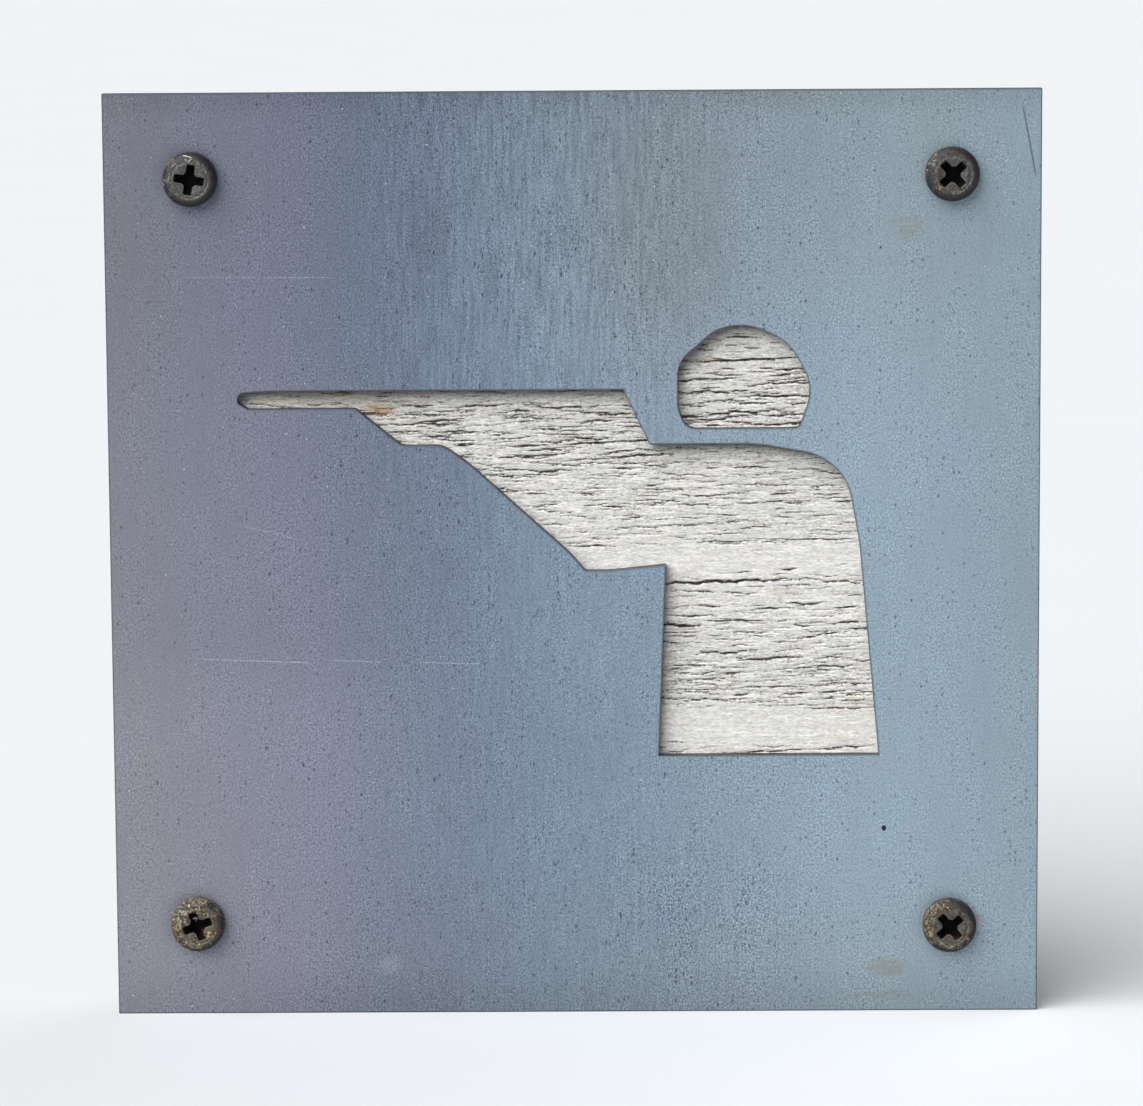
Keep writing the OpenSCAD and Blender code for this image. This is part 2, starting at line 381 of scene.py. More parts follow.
    def finish(
        self,
        base: Colour,
        roughness: Term,
        metallic: Term = 0.0,
        relief: Value | None = None,
        specular: float = 0.5,
    ) -> bpy.types.Material:
        """Closes the graph with a surface.

        Args:
            base: Base colour.
            roughness: Roughness.
            metallic: How metallic the surface is.
            relief: Height of its fine relief, in millimetres.
            specular: Specular level, the same all over.

        Returns:
            The material.
        """
        inputs = {
            "Base Color": base,
            "Roughness": roughness,
            "Metallic": metallic,
            "Specular IOR Level": specular,
        }
        if relief is not None:
            bump = self.node("ShaderNodeBump", inputs={"Height": relief, "Distance": MM, "Strength": 1.0})
            inputs["Normal"] = bump.outputs["Normal"]
        surface = self.node("ShaderNodeBsdfPrincipled", inputs=inputs)
        self.node("ShaderNodeOutputMaterial", inputs={"Surface": surface.outputs["BSDF"]})
        return self.material


class Part(Enum):
    """The parts of a mesh that can be picked, with the name of their list."""

    VERT = "verts"
    EDGE = "edges"
    FACE = "faces"


class Finishing(Enum):
    """How far a piece's corners stay sharp when it is smoothed, in degrees."""

    CRISP = 20
    TURNED = 35


class Bench:
    """One mesh in edit mode, shaped by operators on parts that are picked by place."""

    # Least cosine between a picked face's normal and the way that it has to look
    SAME_WAY = 0.9
    # Corners nearer to each other than this are merged, in millimetres
    DOUBLES = 0.0005

    def __init__(self, piece: bpy.types.Object) -> None:
        """Takes a piece to the bench."""
        self.piece = piece

    def __enter__(self) -> "Bench":
        """Goes into edit mode with this piece alone.

        Returns:
            The bench.
        """
        choose(self.piece)
        bpy.ops.object.mode_set(mode="EDIT")
        return self

    def __exit__(self, *_: object) -> None:
        """Leaves edit mode."""
        bpy.ops.object.mode_set(mode="OBJECT")

    def add(self, primitive: Callable[..., object], **settings: object) -> None:
        """Adds a primitive to the mesh and leaves it alone selected."""
        bpy.ops.mesh.select_all(action="DESELECT")
        primitive(**settings)

    def pick(self, part: Part, inside: Callable[[Vector], bool], facing: Vector | None = None) -> None:
        """Selects parts by place.

        Args:
            part: The kind of part.
            inside: Says of each corner of a part whether it lies in the picked place.
            facing: Where faces have to look, if that matters.
        """
        bpy.ops.mesh.select_mode(type=part.name)
        bpy.ops.mesh.select_all(action="DESELECT")
        mesh = bmesh.from_edit_mesh(self.piece.data)
        for element in getattr(mesh, part.value):
            corners = [element] if part is Part.VERT else element.verts
            if all(inside(corner.co) for corner in corners):
                if facing is None or element.normal.dot(facing) > self.SAME_WAY:
                    element.select_set(True)
        self._show(mesh)

    def pick_rims(self, depth: float | None = None) -> None:
        """Selects the open edges.

        Args:
            depth: Where along Y they lie, or None for all of them.
        """
        bpy.ops.mesh.select_mode(type="EDGE")
        bpy.ops.mesh.select_all(action="DESELECT")
        bpy.ops.mesh.select_non_manifold(use_multi_face=False, use_non_contiguous=False, use_verts=False)
        if depth is not None:
            self.keep(lambda start, end: near(start.y, depth) and near(end.y, depth))

    def keep(self, wanted: Callable[[Vector, Vector], bool]) -> None:
        """Leaves out some of the selected edges.

        Args:
            wanted: Says of an edge's two ends whether it stays selected.
        """
        mesh = bmesh.from_edit_mesh(self.piece.data)
        for edge in mesh.edges:
            if edge.select and not wanted(*(corner.co for corner in edge.verts)):
                edge.select_set(False)
        self._show(mesh)

    def _show(self, mesh: bmesh.types.BMesh) -> None:
        """Hands a changed selection to the operators."""
        mesh.select_flush_mode()
        bmesh.update_edit_mesh(self.piece.data)

    def drop_faces(self) -> None:
        """Removes the selected faces and keeps their edges."""
        bpy.ops.mesh.delete(type="ONLY_FACE")

    def fill(self) -> None:
        """Fills between the selected loops, leaving the inner ones open."""
        bpy.ops.mesh.fill(use_beauty=True)

    def cap(self) -> None:
        """Closes the selected loop with one face."""
        bpy.ops.mesh.edge_face_add()

    def pull(self, x: float = 0.0, y: float = 0.0, z: float = 0.0) -> None:
        """Extrudes the selection and moves it."""
        bpy.ops.mesh.extrude_region_move(TRANSFORM_OT_translate={"value": (x, y, z)})

    def move(self, x: float = 0.0, y: float = 0.0, z: float = 0.0) -> None:
        """Moves the selection."""
        bpy.ops.transform.translate(value=(x, y, z))

    def scale(self, x: float, y: float, z: float, about: Sequence[float] = (0, 0, 0)) -> None:
        """Scales the selection about a point."""
        bpy.ops.transform.resize(value=(x, y, z), center_override=tuple(about))

    def inset(self, thickness: float, depth: float = 0.0) -> None:
        """Insets the selected faces."""
        bpy.ops.mesh.inset(thickness=thickness, depth=depth)

    def bevel(self, width: float, segments: int = 2, affect: str = "EDGES") -> None:
        """Rounds the selected edges or corners."""
        bpy.ops.mesh.bevel(offset=width, segments=segments, affect=affect, clamp_overlap=False)

    def tidy(self) -> None:
        """Merges doubles and turns every face outwards."""
        bpy.ops.mesh.select_mode(type="VERT")
        bpy.ops.mesh.select_all(action="SELECT")
        bpy.ops.mesh.remove_doubles(threshold=self.DOUBLES)
        bpy.ops.mesh.normals_make_consistent(inside=False)


def choose(*pieces: bpy.types.Object) -> None:
    """Selects pieces alone.

    Args:
        pieces: The pieces, of which the first becomes active.
    """
    bpy.ops.object.select_all(action="DESELECT")
    for piece in pieces:
        piece.select_set(True)
    bpy.context.view_layer.objects.active = pieces[0]


def settle(piece: bpy.types.Object) -> None:
    """Moves a piece's place, turn and scale into its mesh."""
    choose(piece)
    bpy.ops.object.transform_apply(location=True, rotation=True, scale=True)


def new_piece(
    name: str, primitive: Callable[..., object], stretch: Sequence[float] = (1, 1, 1), **settings: object
) -> bpy.types.Object:
    """Starts a piece from a primitive, with nothing else selected.

    Args:
        name: The piece's name.
        primitive: The operator that adds the primitive.
        stretch: Factors along the three axes.
        settings: The operator's settings.

    Returns:
        The piece, at the origin and with its place in its mesh.
    """
    bpy.ops.object.select_all(action="DESELECT")
    primitive(**settings)
    piece = bpy.context.active_object
    piece.name = name
    piece.data.name = name
    piece.scale = stretch
    settle(piece)
    return piece


def modify(piece: bpy.types.Object, kind: str, **settings: object) -> None:
    """Adds a modifier to a piece and applies it.

    Args:
        piece: The piece.
        kind: The modifier's type.
        settings: The modifier's settings.
    """
    modifier = piece.modifiers.new(kind.title(), kind)
    for name, setting in settings.items():
        setattr(modifier, name, setting)
    choose(piece)
    bpy.ops.object.modifier_apply(modifier=modifier.name)


def break_edges(piece: bpy.types.Object, width: float) -> None:
    """Takes the sharpness off every edge of a cut sheet."""
    modify(
        piece, "BEVEL", width=width, segments=2, limit_method="ANGLE",
        angle_limit=math.radians(30), use_clamp_overlap=False,
    )


def completed(piece: bpy.types.Object, finishing: Finishing) -> bpy.types.Object:
    """Shades a piece smooth and brings it to metres.

    Args:
        piece: The piece, shaped in millimetres.
        finishing: Which of its corners stay sharp.

    Returns:
        The same piece, in metres.
    """
    choose(piece)
    bpy.ops.object.shade_smooth_by_angle(angle=math.radians(finishing.value))
    piece.scale = (MM,) * 3
    settle(piece)
    return piece


def merged_copy(node: str) -> bpy.types.Object:
    """Copies a CAD node into a new piece and joins its loose triangles into flat faces.

    Args:
        node: The CAD node's name.

    Returns:
        The new piece, in millimetres.
    """
    piece = bpy.data.objects.new(node + "_dressed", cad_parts[node].data.copy())
    bpy.context.scene.collection.objects.link(piece)
    piece.data.materials.clear()
    piece.scale = (1 / MM,) * 3
    settle(piece)
    with Bench(piece) as bench:
        bench.tidy()
        bpy.ops.mesh.dissolve_limited(angle_limit=math.radians(0.1))
    return piece


def placed_copy(model: bpy.types.Object, node: str, place: Matrix) -> bpy.types.Object:
    """Copies a screw or nail, with a mesh of its own, to a CAD node's place.

    Args:
        model: The screw or nail along +Z, in millimetres.
        node: The CAD node's name.
        place: Its place and turn, in millimetres.

    Returns:
        The copy, in metres.
    """
    piece = model.copy()
    piece.data = model.data.copy()
    piece.name = node + "_dressed"
    bpy.context.scene.collection.objects.link(piece)
    piece.matrix_world = place
    settle(piece)
    return completed(piece, Finishing.TURNED)


def hand_over(piece: bpy.types.Object, finish: bpy.types.Material, node: str) -> None:
    """Gives a piece its finish and puts it on the sign.

    Args:
        piece: The piece, in metres.
        finish: Its finish.
        node: The CAD node that it stands for.
    """
    piece.data.materials.append(finish)
    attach(piece, "root")
    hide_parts(node)
    log.info("%s: %d faces, for %s", piece.name, len(piece.data.polygons), node)


class Corner(Enum):
    """The four screws, named as seen from the front, with each recess's turn in degrees."""

    UPPER_LEFT = ("screw_upper_left", -8.5)
    UPPER_RIGHT = ("screw_upper_right", 42.0)
    LOWER_LEFT = ("screw_lower_left", 21.0)
    LOWER_RIGHT = ("screw_lower_right", 40.0)

    @property
    def node(self) -> str:
        """Name of the screw's CAD node."""
        return self.value[0]

    @property
    def turn(self) -> float:
        """Turn of its recess, counter-clockwise from the front, in degrees."""
        return self.value[1]

    @property
    def axis(self) -> tuple[float, float]:
        """Right and up place of its axis, in millimetres."""
        return axis_of(self.node)


@dataclass(frozen=True)
class MillScale:
    """Raw hot-rolled steel: purple-grey to steel blue, fine-grained, pitted, stained at the screws."""

    # Colour of the scale from the plate's left edge to its right edge
    hues: tuple = (
        (0.0, srgb(142, 142, 151)),
        (0.06, srgb(140, 141, 153)),
        (0.2, srgb(136, 139, 157)),
        (0.27, srgb(128, 136, 154)),
        (0.36, srgb(123, 135, 154)),
        (0.46, srgb(128, 146, 164)),
        (0.66, srgb(143, 161, 176)),
        (0.84, srgb(151, 171, 185)),
        (1.0, srgb(145, 163, 174)),
    )
    # What is left of the light in the dusky upper left
    dusky: tuple = (0.71, 0.735, 0.77, 1.0)
    # The same painted shade beside the middle of the upper and lower edges
    greyed: tuple = (0.93, 0.88, 0.84, 1.0)
    haze: tuple = srgb(134, 144, 151)
    cut_edge: tuple = srgb(46, 47, 52)
    pit: tuple = srgb(60, 66, 82)
    grime: tuple = srgb(104, 108, 106)
    rust: tuple = srgb(128, 92, 64)
    bare: tuple = srgb(214, 220, 226)
    # Long scratches, each its two ends, its width and how bright it is
    scratches: tuple = (
        ((-64.5, 120.6), (-36.5, 120.4), 0.1, 0.3),
        ((-62.4, 58.7), (-41.3, 57.9), 0.12, 0.5),
        ((-40.5, 58.4), (-30.8, 58.0), 0.12, 0.4),
        ((-26.7, 58.0), (-14.6, 57.6), 0.12, 0.35),
        ((-53.9, 80.5), (-44.3, 78.0), 0.12, 0.28),
        ((36.4, 120.1), (49.2, 120.0), 0.1, 0.25),
    )

    def material(self) -> bpy.types.Material:
        """Builds the finish.

        Returns:
            The material.
        """
        g = Graph("mill_scale")
        low, high = span("steel_plate")
        across = (g.x - low.x) * (1 / (high.x - low.x))
        up = (g.z - low.z) * (1 / (high.z - low.z))

        clouds = g.noise((0.02, 0.02, 0.014), detail=3.0, shift=3.0, flat=True)
        colour = g.ramp(across + (clouds - 0.5) * 0.14, self.hues)

        # Darker and bluer upper left, grey haze beside it, darker rows along the upper and lower edges
        dusk = across.fall(0.25, 0.5) * (up.rise(0.3, 0.45) * 0.45 + up.rise(0.45, 0.92) * 0.55)
        colour = g.mix(dusk, colour, self.dusky, "MULTIPLY")
        colour = g.mix(g.spot(14, 124, 34, 60) * 0.5, colour, self.haze)
        # Painted shade: greyed patches by the middle of the upper and lower edges
        shaded_top = across.rise(0.32, 0.5) * up.rise(0.55, 1.0)
        shaded_foot = across.rise(0.08, 0.3) * up.fall(0.0, 0.22)
        colour = g.mix((shaded_top + shaded_foot) * across.fall(0.86, 1.0), colour, self.greyed, "MULTIPLY")
        rims = up.fall(0.0, 0.06) * 0.16 + up.rise(0.965, 1.0) * 0.13
        streaks = g.noise((1.4, 1.4, 0.13), detail=3.0, rough=0.65, shift=11.0, flat=True)
        brushed = across.rise(0.24, 0.34) * across.fall(0.5, 0.75)
        tooth = g.noise((3.7, 3.7, 2.9), detail=1.0, rough=0.8, shift=23.0, flat=True)
        clumps = g.noise((0.16, 0.16, 0.06), detail=3.0, rough=0.65, shift=31.0, flat=True)
        mottled = g.spot(21, 16, 46, 36)
        inner = across.rise(0.08, 0.22) * across.fall(0.72, 0.88)
        bite = 0.66 + clumps.rise(0.35, 0.62) * 0.8 + inner * 0.45 + mottled * 0.85
        drawn = brushed * up.rise(0.45, 0.8) * 0.65 + brushed * 0.3 + mottled * 0.4 + 0.12
        light = 1.05 - rims + (streaks - 0.5) * drawn
        light = light + (tooth - 0.5) * bite + (clouds - 0.5) * 0.12 + (clumps - 0.5) * 0.14

        # Thick dark scale in a few upright blotches
        blotch = g.spot(-23, 128, 14, 34) + g.spot(-13, 121, 5, 16) + g.spot(18, 14, 26, 20) * 0.6
        light = light - (blotch * (streaks * 1.6 + clumps - 0.8)).rise(0.1, 0.8) * 0.2
        colour = g.dim(colour, light)

        # Pits: many as small as a grain of sand, fewer large ones, drawn out upwards where it is brushed
        rolled = brushed * (0.4 + up.rise(0.3, 0.7) * 0.3) + blotch * 0.5
        rolled = rolled + mottled * 0.75 + inner * 0.2 + 0.25
        runs = g.noise((0.9, 0.9, 0.3), detail=2.0, rough=0.7, shift=71.0, flat=True).rise(0.4, 0.68)
        fine_pits = g.grains(0.85, 0.75, 0.27, 9.0, tooth, 1.5)
        fine_pits = fine_pits * (clumps.rise(0.36, 0.58) * 0.5 + inner * 0.2 + 0.3)
        dashes = g.grains(0.6, 0.75, 0.29, 45.0, tooth, 3.0)
        dashes = dashes * (clumps * 0.4 + streaks * 0.6).rise(0.34, 0.58)
        pits = g.grains(1.7, 0.4, 0.12, 5.0, tooth, 1.6)
        dents = fine_pits.most(dashes * rolled).most(pits) * (runs * 0.85 + 0.25)
        colour = g.mix(dents * 0.8, colour, self.pit)

        # Bright crumbs and long scratches, and fine painted glints
        wear_and_glints = g.grains(3.3, 0.34, 0.05, 17.0, tooth) * 0.6
        # Painted glints: fine bright specks of bare-steel colour
        wear_and_glints = wear_and_glints.most(g.grains(1.2, 0.4, 0.15, 63.0, tooth) * 0.2)
        crumbs = g.spot(17.6, 24.5, 2.4, 2.0) + g.spot(10.5, 38.5, 2.6, 1.4) + g.spot(-8, 119, 1.6, 4)
        wear_and_glints = wear_and_glints.most(crumbs.rise(0.2, 1.0) * tooth.rise(0.5, 0.7) * 0.6)
        broken = tooth.rise(0.25, 0.6)
        for start, end, width, strength in self.scratches:
            wear_and_glints = wear_and_glints.most(g.line(start, end, width) * broken * strength)
        colour = g.mix(wear_and_glints, colour, self.bare)
        dark_scratch = g.line((71.7, 148.4), (74.2, 135.3), 0.22)
        colour = g.mix(dark_scratch * 0.6, colour, self.pit)

        # Tan smears, dull marks and a black fleck
        smears = g.spot(53.2, 127.8, 12, 9) * 0.75 + g.spot(50.4, 7.2, 12, 5.6) + g.spot(50, 2.6, 22, 3) * 0.7
        dabs = g.noise((0.4, 0.4, 2.4), detail=2.0, rough=0.7, shift=57.0, flat=True)
        smears = (smears * (dabs * 1.6 + 0.1)).rise(0.3, 0.9) * tooth.rise(0.3, 0.62)
        colour = g.mix(smears * 0.6, colour, srgb(138, 131, 108))
        dull = g.spot(-54.2, 81.7, 2.2, 1.8) * 0.4 + g.spot(-32.9, 81.6, 1.8, 1.6) * 0.3
        colour = g.mix(dull * tooth.rise(0.3, 0.6), colour, self.grime)
        colour = g.mix(g.spot(-30.5, 7.9, 6, 4) * 0.1, colour, self.bare)
        colour = g.mix(g.spot(50.0, 30.3, 0.9, 1.1, 0.4), colour, srgb(20, 20, 22))

        # Dirt and rust round the screws
        for corner, dirt, rust in (
            (Corner.UPPER_LEFT, 0.3, 0.04),
            (Corner.UPPER_RIGHT, 0.1, 0.04),
            (Corner.LOWER_LEFT, 0.24, 0.16),
            (Corner.LOWER_RIGHT, 0.14, 0.2),
        ):
            x, z = corner.axis
            halo = g.spot(x - 0.5, z + 0.4, 13, 13, 0.5)
            colour = g.mix(halo * dirt, colour, srgb(78, 74, 88))
            stain = (g.spot(x + 1.0, z - 0.6, 12, 11, 0.6) * (tooth + clumps)).rise(0.5, 0.95)
            colour = g.mix(stain * rust, colour, self.rust)
        x, z = Corner.LOWER_RIGHT.axis
        red = g.spot(x + 4.7, z + 1.1, 1.7, 1.4) * tooth.rise(0.3, 0.6)
        colour = g.mix(red * 0.7, colour, srgb(168, 116, 104))

        # Edges burnt by the cutter: a dark line along them, partly burn and partly painted shade of the
        # broken edge, and dark walls
        face = (-1 * g.facing_back()).rise(0.55, 0.95)
        burnt_and_shaded = g.attribute("edge")
        colour = g.mix(burnt_and_shaded.rise(0.3, 1.0) * (0.15 + tooth * 0.8), colour, srgb(56, 60, 68))
        laser = g.noise((5.0, 0.25, 5.0), detail=1.0, shift=41.0)
        wall = g.mix(laser * 0.7, self.cut_edge, srgb(80, 79, 80))
        colour = g.mix(face, wall, colour)

        rough = 0.46 + (streaks - 0.5) * 0.16 + pits * 0.2 + smears * 0.2 - wear_and_glints * 0.1
        relief = tooth * 0.02 - dents * 0.03 + (1 - face) * laser * 0.03
        return g.finish(colour, rough, metallic=0.55 - pits * 0.3 - smears * 0.3, relief=relief)


@dataclass(frozen=True)
class CrackledPaint:
    """Old off-white paint on a board: cracked along the grain, stained, worn to grey wood."""

    fresh: tuple = srgb(242, 240, 235)
    shaded: tuple = srgb(222, 221, 216)
    gap: tuple = srgb(38, 34, 32)
    dust: tuple = srgb(136, 130, 121)
    wood: tuple = srgb(190, 163, 127)
    old_wood: tuple = srgb(154, 130, 102)
    late_wood: tuple = srgb(120, 90, 62)
    pore: tuple = srgb(84, 66, 50)
    grey_wood: tuple = srgb(150, 143, 132)
    ochre: tuple = srgb(184, 148, 88)
    rust: tuple = srgb(112, 76, 42)
    # Places in the bare wood: a knot, right and up, and the heart of the log, back and up
    knot: tuple[float, float] = (-37, 56)
    pith: tuple[float, float] = (-26, 58)

    def material(self) -> bpy.types.Material:
        """Builds the finish.

        Returns:
            The material.
        """
        g = Graph("crackled_paint")
        back = g.facing_back()
        off_front = (-1 * back).fall(0.4, 0.7)
        opening = g.attribute("opening")
        crazed = g.attribute("crazed")

        fibre = g.noise((0.22, 2.6, 2.6), detail=3.0, rough=0.65, shift=2.0)
        ragged = g.noise((2.4, 3.8, 3.8), detail=2.0, rough=0.8, shift=7.0)
        cloud = g.noise((0.05, 0.12, 0.12), detail=2.0, shift=13.0)
        chalk = g.noise((1.7, 5.6, 5.6), detail=0.0, shift=19.0)

        # Paint: pale, streaked along the grain and a little chalky
        paint = g.mix(fibre.rise(0.3, 0.62), self.shaded, self.fresh)
        paint = g.dim(paint, 1.01 + (chalk - 0.5) * 0.65 + (cloud - 0.5) * 0.1)
        warm = g.noise((0.18, 0.5, 0.5), detail=1.0, shift=29.0)
        paint = g.mix(warm.rise(0.55, 0.8) * 0.16, paint, srgb(222, 196, 176))
        paint = g.mix(warm.fall(0.2, 0.42) * 0.14, paint, srgb(205, 214, 186))

        # Hairlines, then the open cracks
        ridge = abs(fibre - 0.5)
        hair = ridge.fall(0.0, 0.04) * ragged.rise(0.4, 0.58) * crazed
        paint = g.mix(hair * 0.8, paint, self.dust)
        edge = opening + (ragged - 0.5) * 0.36
        # Painted shade: a soft grey round each crack, where the sunken paint falls into shade
        crack_shade = edge.rise(-0.18, 0.04)
        paint = g.mix(crack_shade * 0.22, paint, self.dust)
        gap = edge.rise(-0.02, 0.06)
        deep = edge.rise(-0.01, 0.1)
        crack = g.mix(deep, self.dust, self.gap)
        crack = g.mix(g.spot(42.5, 70.4, 15, 3.4, 0.4) * 0.6, crack, self.rust)
        paint = g.mix(gap * 0.92, paint, crack)
        # A brownish-grey band along the barrel: stain, and painted shade under the plate's edge above it
        paint = g.mix(g.spot(-38, 100.6, 46, 4.2) * 0.4, paint, srgb(182, 172, 150))
        swirl = g.noise((0.7, 2.2, 2.2), detail=2.0, rough=0.7, shift=37.0)
        stain = g.spot(-31.3, 98.8, 9, 4.6) * (swirl * 1.5)
        paint = g.mix(stain.rise(0.3, 0.95) * 0.75, paint, self.ochre)
        core = g.spot(-30.5, 98.4, 7.0, 2.6) * abs(swirl - 0.5).fall(0.0, 0.07)
        paint = g.mix(core.rise(0.15, 0.6) * 0.85, paint, self.rust)
        rusty = g.spot(43, 49.8, 13, 1.0) * ragged.rise(0.35, 0.6)
        paint = g.mix(rusty * 0.5, paint, srgb(176, 112, 72))
        damp = g.spot(33.2, 68.7, 8, 4) + g.spot(45.4, 51.3, 6, 3.4) + g.spot(42.8, 44.8, 7, 2.6)
        damp = (damp + g.spot(21.6, 106.7, 9, 2.4)) * swirl * 1.6
        paint = g.mix(damp.rise(0.3, 1.0) * 0.26, paint, self.ochre)

        # Bare wood at the back, growth rings on the sawn ends, and paint that ran over the edges
        wave = g.noise((0.012, 0.05, 0.05), detail=2.0, shift=43.0)
        knot = g.spot(*self.knot, 9, 6.5)
        off_pith = g.vector("MULTIPLY_ADD", g.place, (0.06, 1, 1), (0, -self.pith[0], -self.pith[1]))
        growth = Value(g, g.vector("LENGTH", off_pith)) * 2.0 + wave * 26
        growth = growth + g.spot(*self.knot, 44, 20, 1.0) * 9
        rings = growth.sine()
        grain = g.mix(fibre.rise(0.28, 0.66), self.old_wood, self.wood)
        grain = g.mix(rings.rise(-0.1, 0.95) * 0.6, grain, self.late_wood)
        pores = g.noise((0.4, 5.0, 5.0), detail=1.0, shift=51.0).fall(0.3, 0.4)
        grain = g.mix(pores * 0.55, grain, self.pore)
        grain = g.mix(wave.rise(0.45, 0.7) * 0.5, grain, self.grey_wood)
        handled = abs(g.x).rise(58, 73).most(abs(g.z - 74).rise(60, 74)) * (0.2 + cloud * 0.5)
        grain = g.mix(handled, grain, self.pore)
        grain = g.mix(knot.rise(0.1, 0.9) * (0.6 + rings * 0.2), grain, self.pore)
        run_over = (g.y * -0.16 + 0.1 + (cloud - 0.5) * 1.2 + (ragged - 0.5) * 0.7).rise(0.1, 0.3)
        hidden = back.rise(0.4, 0.7)
        bare = hidden.most((1 - run_over) * off_front)
        edge_hair = abs(ragged - 0.5).fall(0.0, 0.04) * cloud.rise(0.35, 0.55)
        side_paint = g.mix(edge_hair * 0.7 * off_front, paint, self.dust)
        colour = g.mix(bare, side_paint, grain)

        relief = fibre * 0.05 + chalk * 0.03 - gap * 0.16 - hair * 0.05 - bare * 0.12 - rings * bare * 0.02
        return g.finish(colour, 0.72 + bare * 0.14 - (fibre - 0.5) * 0.1, relief=relief, specular=0.3)


@dataclass(frozen=True)
class Mark:
    """A small mark on a screw's head.

    Attributes:
        x: Its middle, to the right of the screw's axis.
        z: Its middle, above the axis.
        width: Its width.
        height: Its height.
        colour: Its colour.
    """

    x: float
    z: float
    width: float
    height: float
    colour: tuple


@dataclass(frozen=True)
class WornScrewSteel:
    """Blackened screw steel under grime, with a worn ring lightened partly by painted highlight, and rust of
    its own.

    Attributes:
        corner: The screw.
        crust: How much of its head rust and lime cover, 0 to 1.
        cool: Colour of its cleaner patches.
        warm: Colour of its dirtier patches.
        marks: What is seen on this screw alone.
        burrs: Burrs on its rim, painted as bright slivers of highlight, each its two ends to the right of and
            above the axis.
    """

    corner: Corner
    crust: float
    cool: tuple
    warm: tuple
    marks: tuple[Mark, ...]
    burrs: tuple = ()
    dark: tuple = srgb(34, 32, 34)
    recess_shade: tuple = srgb(4, 3, 3)
    recess_dust_and_shade: tuple = srgb(26, 21, 19)
    ring: tuple = srgb(134, 132, 116)
    glint_silver: tuple = srgb(228, 230, 222)
    # How far the head's flat stands in front of the plate, and radii of its worn ring, lightened partly by
    # painted highlight, and its recess
    flat: float = 2.78
    ring_radius: float = 3.0
    recess_radius: float = 2.8
    # Grains of the crust, from pits to lime
    grains: tuple = (
        (0.3, srgb(30, 25, 23)),
        (0.43, srgb(70, 58, 48)),
        (0.52, srgb(100, 92, 76)),
        (0.6, srgb(134, 124, 98)),
        (0.7, srgb(222, 216, 200)),
    )

    def material(self) -> bpy.types.Material:
        """Builds the finish.

        Returns:
            The material.
        """
        g = Graph("worn_" + self.corner.node)
        x, z = self.corner.axis
        off = g.vector("MULTIPLY_ADD", g.place, (1, 0, 1), (-x, 0, -z))
        radius = Value(g, g.vector("LENGTH", off))
        speck = g.noise(2.6, detail=2.0, rough=0.7, shift=x)
        patches = g.noise(0.7, detail=3.0, rough=0.6, shift=z)

        colour = g.mix(patches.rise(0.36, 0.64), self.cool, self.warm)
        # Painted highlight, partly wear: a lighter band on the pressed ring
        ring = abs(radius - self.ring_radius).fall(0.04, 0.3) * speck.rise(0.35, 0.6)
        colour = g.mix(ring * 0.2, colour, self.ring)
        rim = radius.rise(2.9, 3.8) * (0.94 - self.crust * 0.22)
        colour = g.mix(rim, colour, self.dark)
        colour = g.dim(colour, speck * 3.0 - 0.62)

        lean = (g.z - z) * 0.03 - (g.x - x) * 0.06
        covered = (patches - 0.5) * 1.6 + radius.rise(2.5, 3.3) * 0.2 + (self.crust - 0.65) + lean
        covered = covered.rise(0.0, 0.4)
        colour = g.mix(covered * 0.85, colour, g.ramp(speck, self.grains))
        # Painted shade: the cross recess is painted near black, flecked with dust
        below_flat = g.y - (span("steel_plate")[0].y - self.flat)
        inside = below_flat.rise(0.0, 0.3) * radius.fall(self.recess_radius - 0.3, self.recess_radius)
        colour = g.mix(inside, colour, g.mix(speck.rise(0.3, 0.7), self.recess_shade, self.recess_dust_and_shade))
        for mark in self.marks:
            place = g.spot(x + mark.x, z + mark.z, mark.width, mark.height, 0.8)
            colour = g.mix(place.rise(0.1, 0.7) * speck.rise(0.42, 0.58), colour, mark.colour)
        # Painted highlight: near-white glints along the burrs
        burr_glint: Term = 0.0
        for start, end in self.burrs:
            ends = [(x + across, z + up) for across, up in (start, end)]
            burr_glint = (g.line(*ends, 0.1) * speck.rise(0.3, 0.55)).most(burr_glint)
        colour = g.mix(burr_glint * 0.6, colour, self.glint_silver)

        rough = 0.5 + covered * 0.35 + (speck - 0.5) * 0.4 + inside * 0.3
        relief = speck * (0.1 + self.crust * 0.08) + patches * 0.08
        return g.finish(colour, rough, metallic=0.4 - covered * 0.35 + inside * 0.4, relief=relief)


@dataclass(frozen=True)
class ZincPlate:
    """Bright zinc plating with a faint yellow passivation, dulled and lightly spotted."""

    name: str = "zinc_plate"
    clear: tuple = srgb(196, 200, 202)
    yellow: tuple = srgb(190, 182, 150)
    dull: tuple = srgb(128, 128, 124)

    def material(self) -> bpy.types.Material:
        """Builds the finish.

        Returns:
            The material.
        """
        g = Graph(self.name)
        bloom = g.noise(0.35, detail=3.0, shift=4.0)
        brush = g.noise((0.3, 4.0, 5.0), detail=2.0, shift=8.0)
        spots = g.grains(1.3, 0.3, 0.3, 6.0, bloom)
        colour = g.mix(bloom.rise(0.35, 0.7), self.clear, self.yellow)
        colour = g.dim(colour, 0.86 + brush * 0.28)
        colour = g.mix(spots * 0.5, colour, self.dull)
        rust = g.noise(1.2, detail=3.0, shift=15.0).rise(0.64, 0.74)
        colour = g.mix(rust * 0.6, colour, srgb(126, 86, 54))
        relief = brush * 0.012 - spots * 0.02
        rough = 0.3 + bloom * 0.2 + spots * 0.2 + rust * 0.3
        return g.finish(colour, rough, metallic=0.95 - rust * 0.7, relief=relief)


